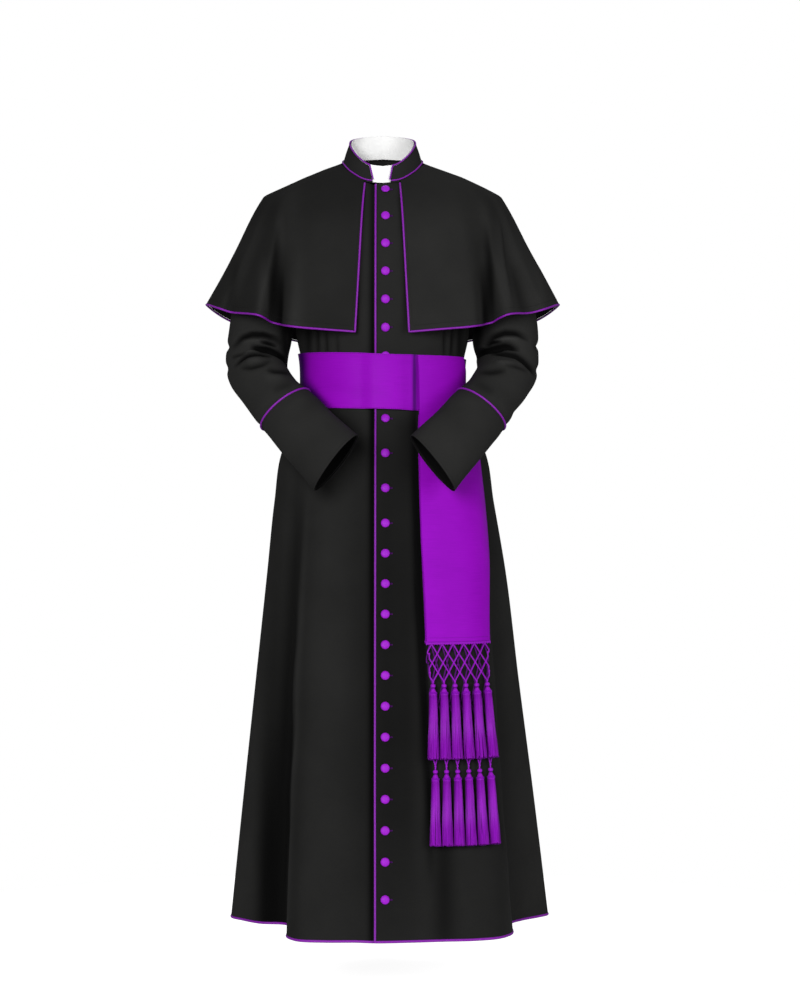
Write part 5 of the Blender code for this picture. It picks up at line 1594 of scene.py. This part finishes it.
def add_buttonhole(joined, z):
    """A worked buttonhole: close stitches round a slit that runs from under the button."""
    centre, out, side_way, up_way = button_frame(BUTTON_X, z)
    side_way = side_way * np.sign(side_way[0])
    half = HOLE_HALF_WIDTH
    for x in np.linspace(0.0, HOLE_LENGTH, HOLE_STITCHES):
        for sign in (-1.0, 1.0):
            near = centre + x * side_way + 0.15 * half * sign * up_way + 0.0003 * out
            far = near + (1.2 * half * sign) * up_way
            ring = np.stack((near, near + 0.0004 * out, far + 0.0004 * out, far - 0.0003 * out))
            joined.rings(tube_rings(ring, 0.00034, 4))
    bar = np.linspace(-1.4 * half, 1.4 * half, 5)
    line = centre + (HOLE_LENGTH + 0.0006) * side_way + bar[:, None] * up_way + 0.0005 * out
    joined.rings(tube_rings(line, 0.0004, 5))


def build_buttons():
    holes = Joined()
    index = 0
    for run in BUTTON_RUNS:
        for step in range(run.count):
            index += 1
            z = run.first_z - run.pitch * step
            build_button(index, z)
            add_buttonhole(holes, z)
    holes.piece("buttonholes", PURPLE_THREAD)


build_buttons()


# ---------------------------------------------------------------- sewing

COLLAR_STITCH = (0.0034, 0.0023)             # pitch and length
SILK_STITCH = (0.0038, 0.0026, 0.00024)      # pitch, length and the thread's radius


def sew(joined, grid, runs, closed=False, sizes=()):
    """Stitches along some rows or columns of a grid of cloth."""
    normals = grid_normals(grid, closed)
    for run in runs:
        add_stitches(joined, grid[run], normals[run], *sizes)


def edge_stitches():
    """Rows of stitches that hold the edges' cord and turnings, in thread of the cloth's colour."""
    black, purple = Joined(), Joined()
    first = int(np.searchsorted(CAPE_DOWN, 0.05))
    sew(black, cape_grid, (np.s_[first:-2, 2], np.s_[first:-2, -3], np.s_[-3, 2:-2]))
    sew(black, left_grid, (np.s_[2:-1, 2],))
    for grid in cuff_grids:
        sew(black, grid, (1, -2), True)
    sew(black, collar_grid, (np.s_[1, 3:-3],), False, COLLAR_STITCH)
    sew(purple, sash_grid, (1, -2), True, SILK_STITCH)
    for grid in fall_grids:
        sew(purple, grid, (np.s_[:, 1], np.s_[:, -2], np.s_[-3, 1:-1]), False, SILK_STITCH)
    black.piece("black_stitches", BLACK_THREAD)
    purple.piece("purple_stitches", PURPLE_THREAD)


edge_stitches()


# ---------------------------------------------------------------- floor, light and camera

FLOOR_RADIUS = 1.4
FLOOR_Z = -1.545            # the wearer's shoes keep the hem off the floor


def stage_floor():
    """A round white floor, bright enough to run into the white behind it."""
    form = bmesh.new()
    bmesh.ops.create_circle(form, cap_ends=True, segments=96, radius=FLOOR_RADIUS)
    mesh = bpy.data.meshes.new("floor")
    form.to_mesh(mesh)
    form.free()
    n = Nodes("white_floor", Roughness=0.8)
    seen = n.add("LightPath").outputs["Is Camera Ray"]
    n.feed(n.shader.inputs["Emission Strength"], n.math("MULTIPLY", seen, 0.85))
    n.shader.inputs["Base Color"].default_value = (0.93, 0.93, 0.93, 1.0)
    n.shader.inputs["Emission Color"].default_value = (1.0, 1.0, 1.0, 1.0)
    mesh.materials.append(n.material)
    floor = bpy.data.objects.new("floor", mesh)
    bpy.context.scene.collection.objects.link(floor)
    floor.location = (0.0, 0.0, FLOOR_Z)


LAMPS = table(
    "name x y z aim_z size power",
    ("key", -1.1, -4.6, 0.2, -0.7, 1.8, 165.0),
    ("fill", 2.8, -3.4, 0.0, -0.7, 2.4, 64.0),
    ("top", 0.0, 0.8, 2.6, -0.8, 2.0, 12.0),
)


def area_light(lamp):
    """A round lamp aimed at a height on the robe's axis."""
    light = bpy.data.lights.new(lamp.name, "AREA")
    light.shape = "DISK"
    light.size = lamp.size
    light.energy = lamp.power
    holder = bpy.data.objects.new(lamp.name, light)
    bpy.context.scene.collection.objects.link(holder)
    holder.location = (lamp.x, lamp.y, lamp.z)
    yaw = math.atan2(-lamp.y, -lamp.x) - math.pi / 2.0
    pitch = math.atan2(lamp.aim_z - lamp.z, math.hypot(lamp.x, lamp.y)) + math.pi / 2.0
    holder.rotation_euler = (pitch, 0.0, yaw)


def studio():
    """A white surround that lights softly, with lamps in front and overhead."""
    world = bpy.data.worlds.new("studio")
    bpy.context.scene.world = world
    world.use_nodes = True
    tree = world.node_tree
    back = tree.nodes["Background"]
    path = tree.nodes.new("ShaderNodeLightPath")
    strength = tree.nodes.new("ShaderNodeMapRange")
    strength.inputs["To Min"].default_value = 0.22
    strength.inputs["To Max"].default_value = 1.0
    tree.links.new(path.outputs["Is Camera Ray"], strength.inputs["Value"])
    tree.links.new(strength.outputs["Result"], back.inputs["Strength"])
    back.inputs["Color"].default_value = (1.0, 1.0, 1.0, 1.0)
    for lamp in LAMPS:
        area_light(lamp)
    scene = bpy.context.scene
    scene.view_settings.view_transform = "Standard"
    scene.view_settings.look = "None"


def camera():
    """A level camera in front, five metres away, as high as the middle of the robe."""
    lens = bpy.data.cameras.new("camera")
    lens.sensor_width = 36.0
    lens.lens = 94.7
    lens.clip_end = 100.0
    eye = bpy.data.objects.new("camera", lens)
    bpy.context.scene.collection.objects.link(eye)
    eye.location = (0.033, -5.0, -0.6365)
    eye.rotation_euler = (math.radians(90.0), 0.0, 0.0)
    bpy.context.scene.camera = eye


stage_floor()
studio()
camera()
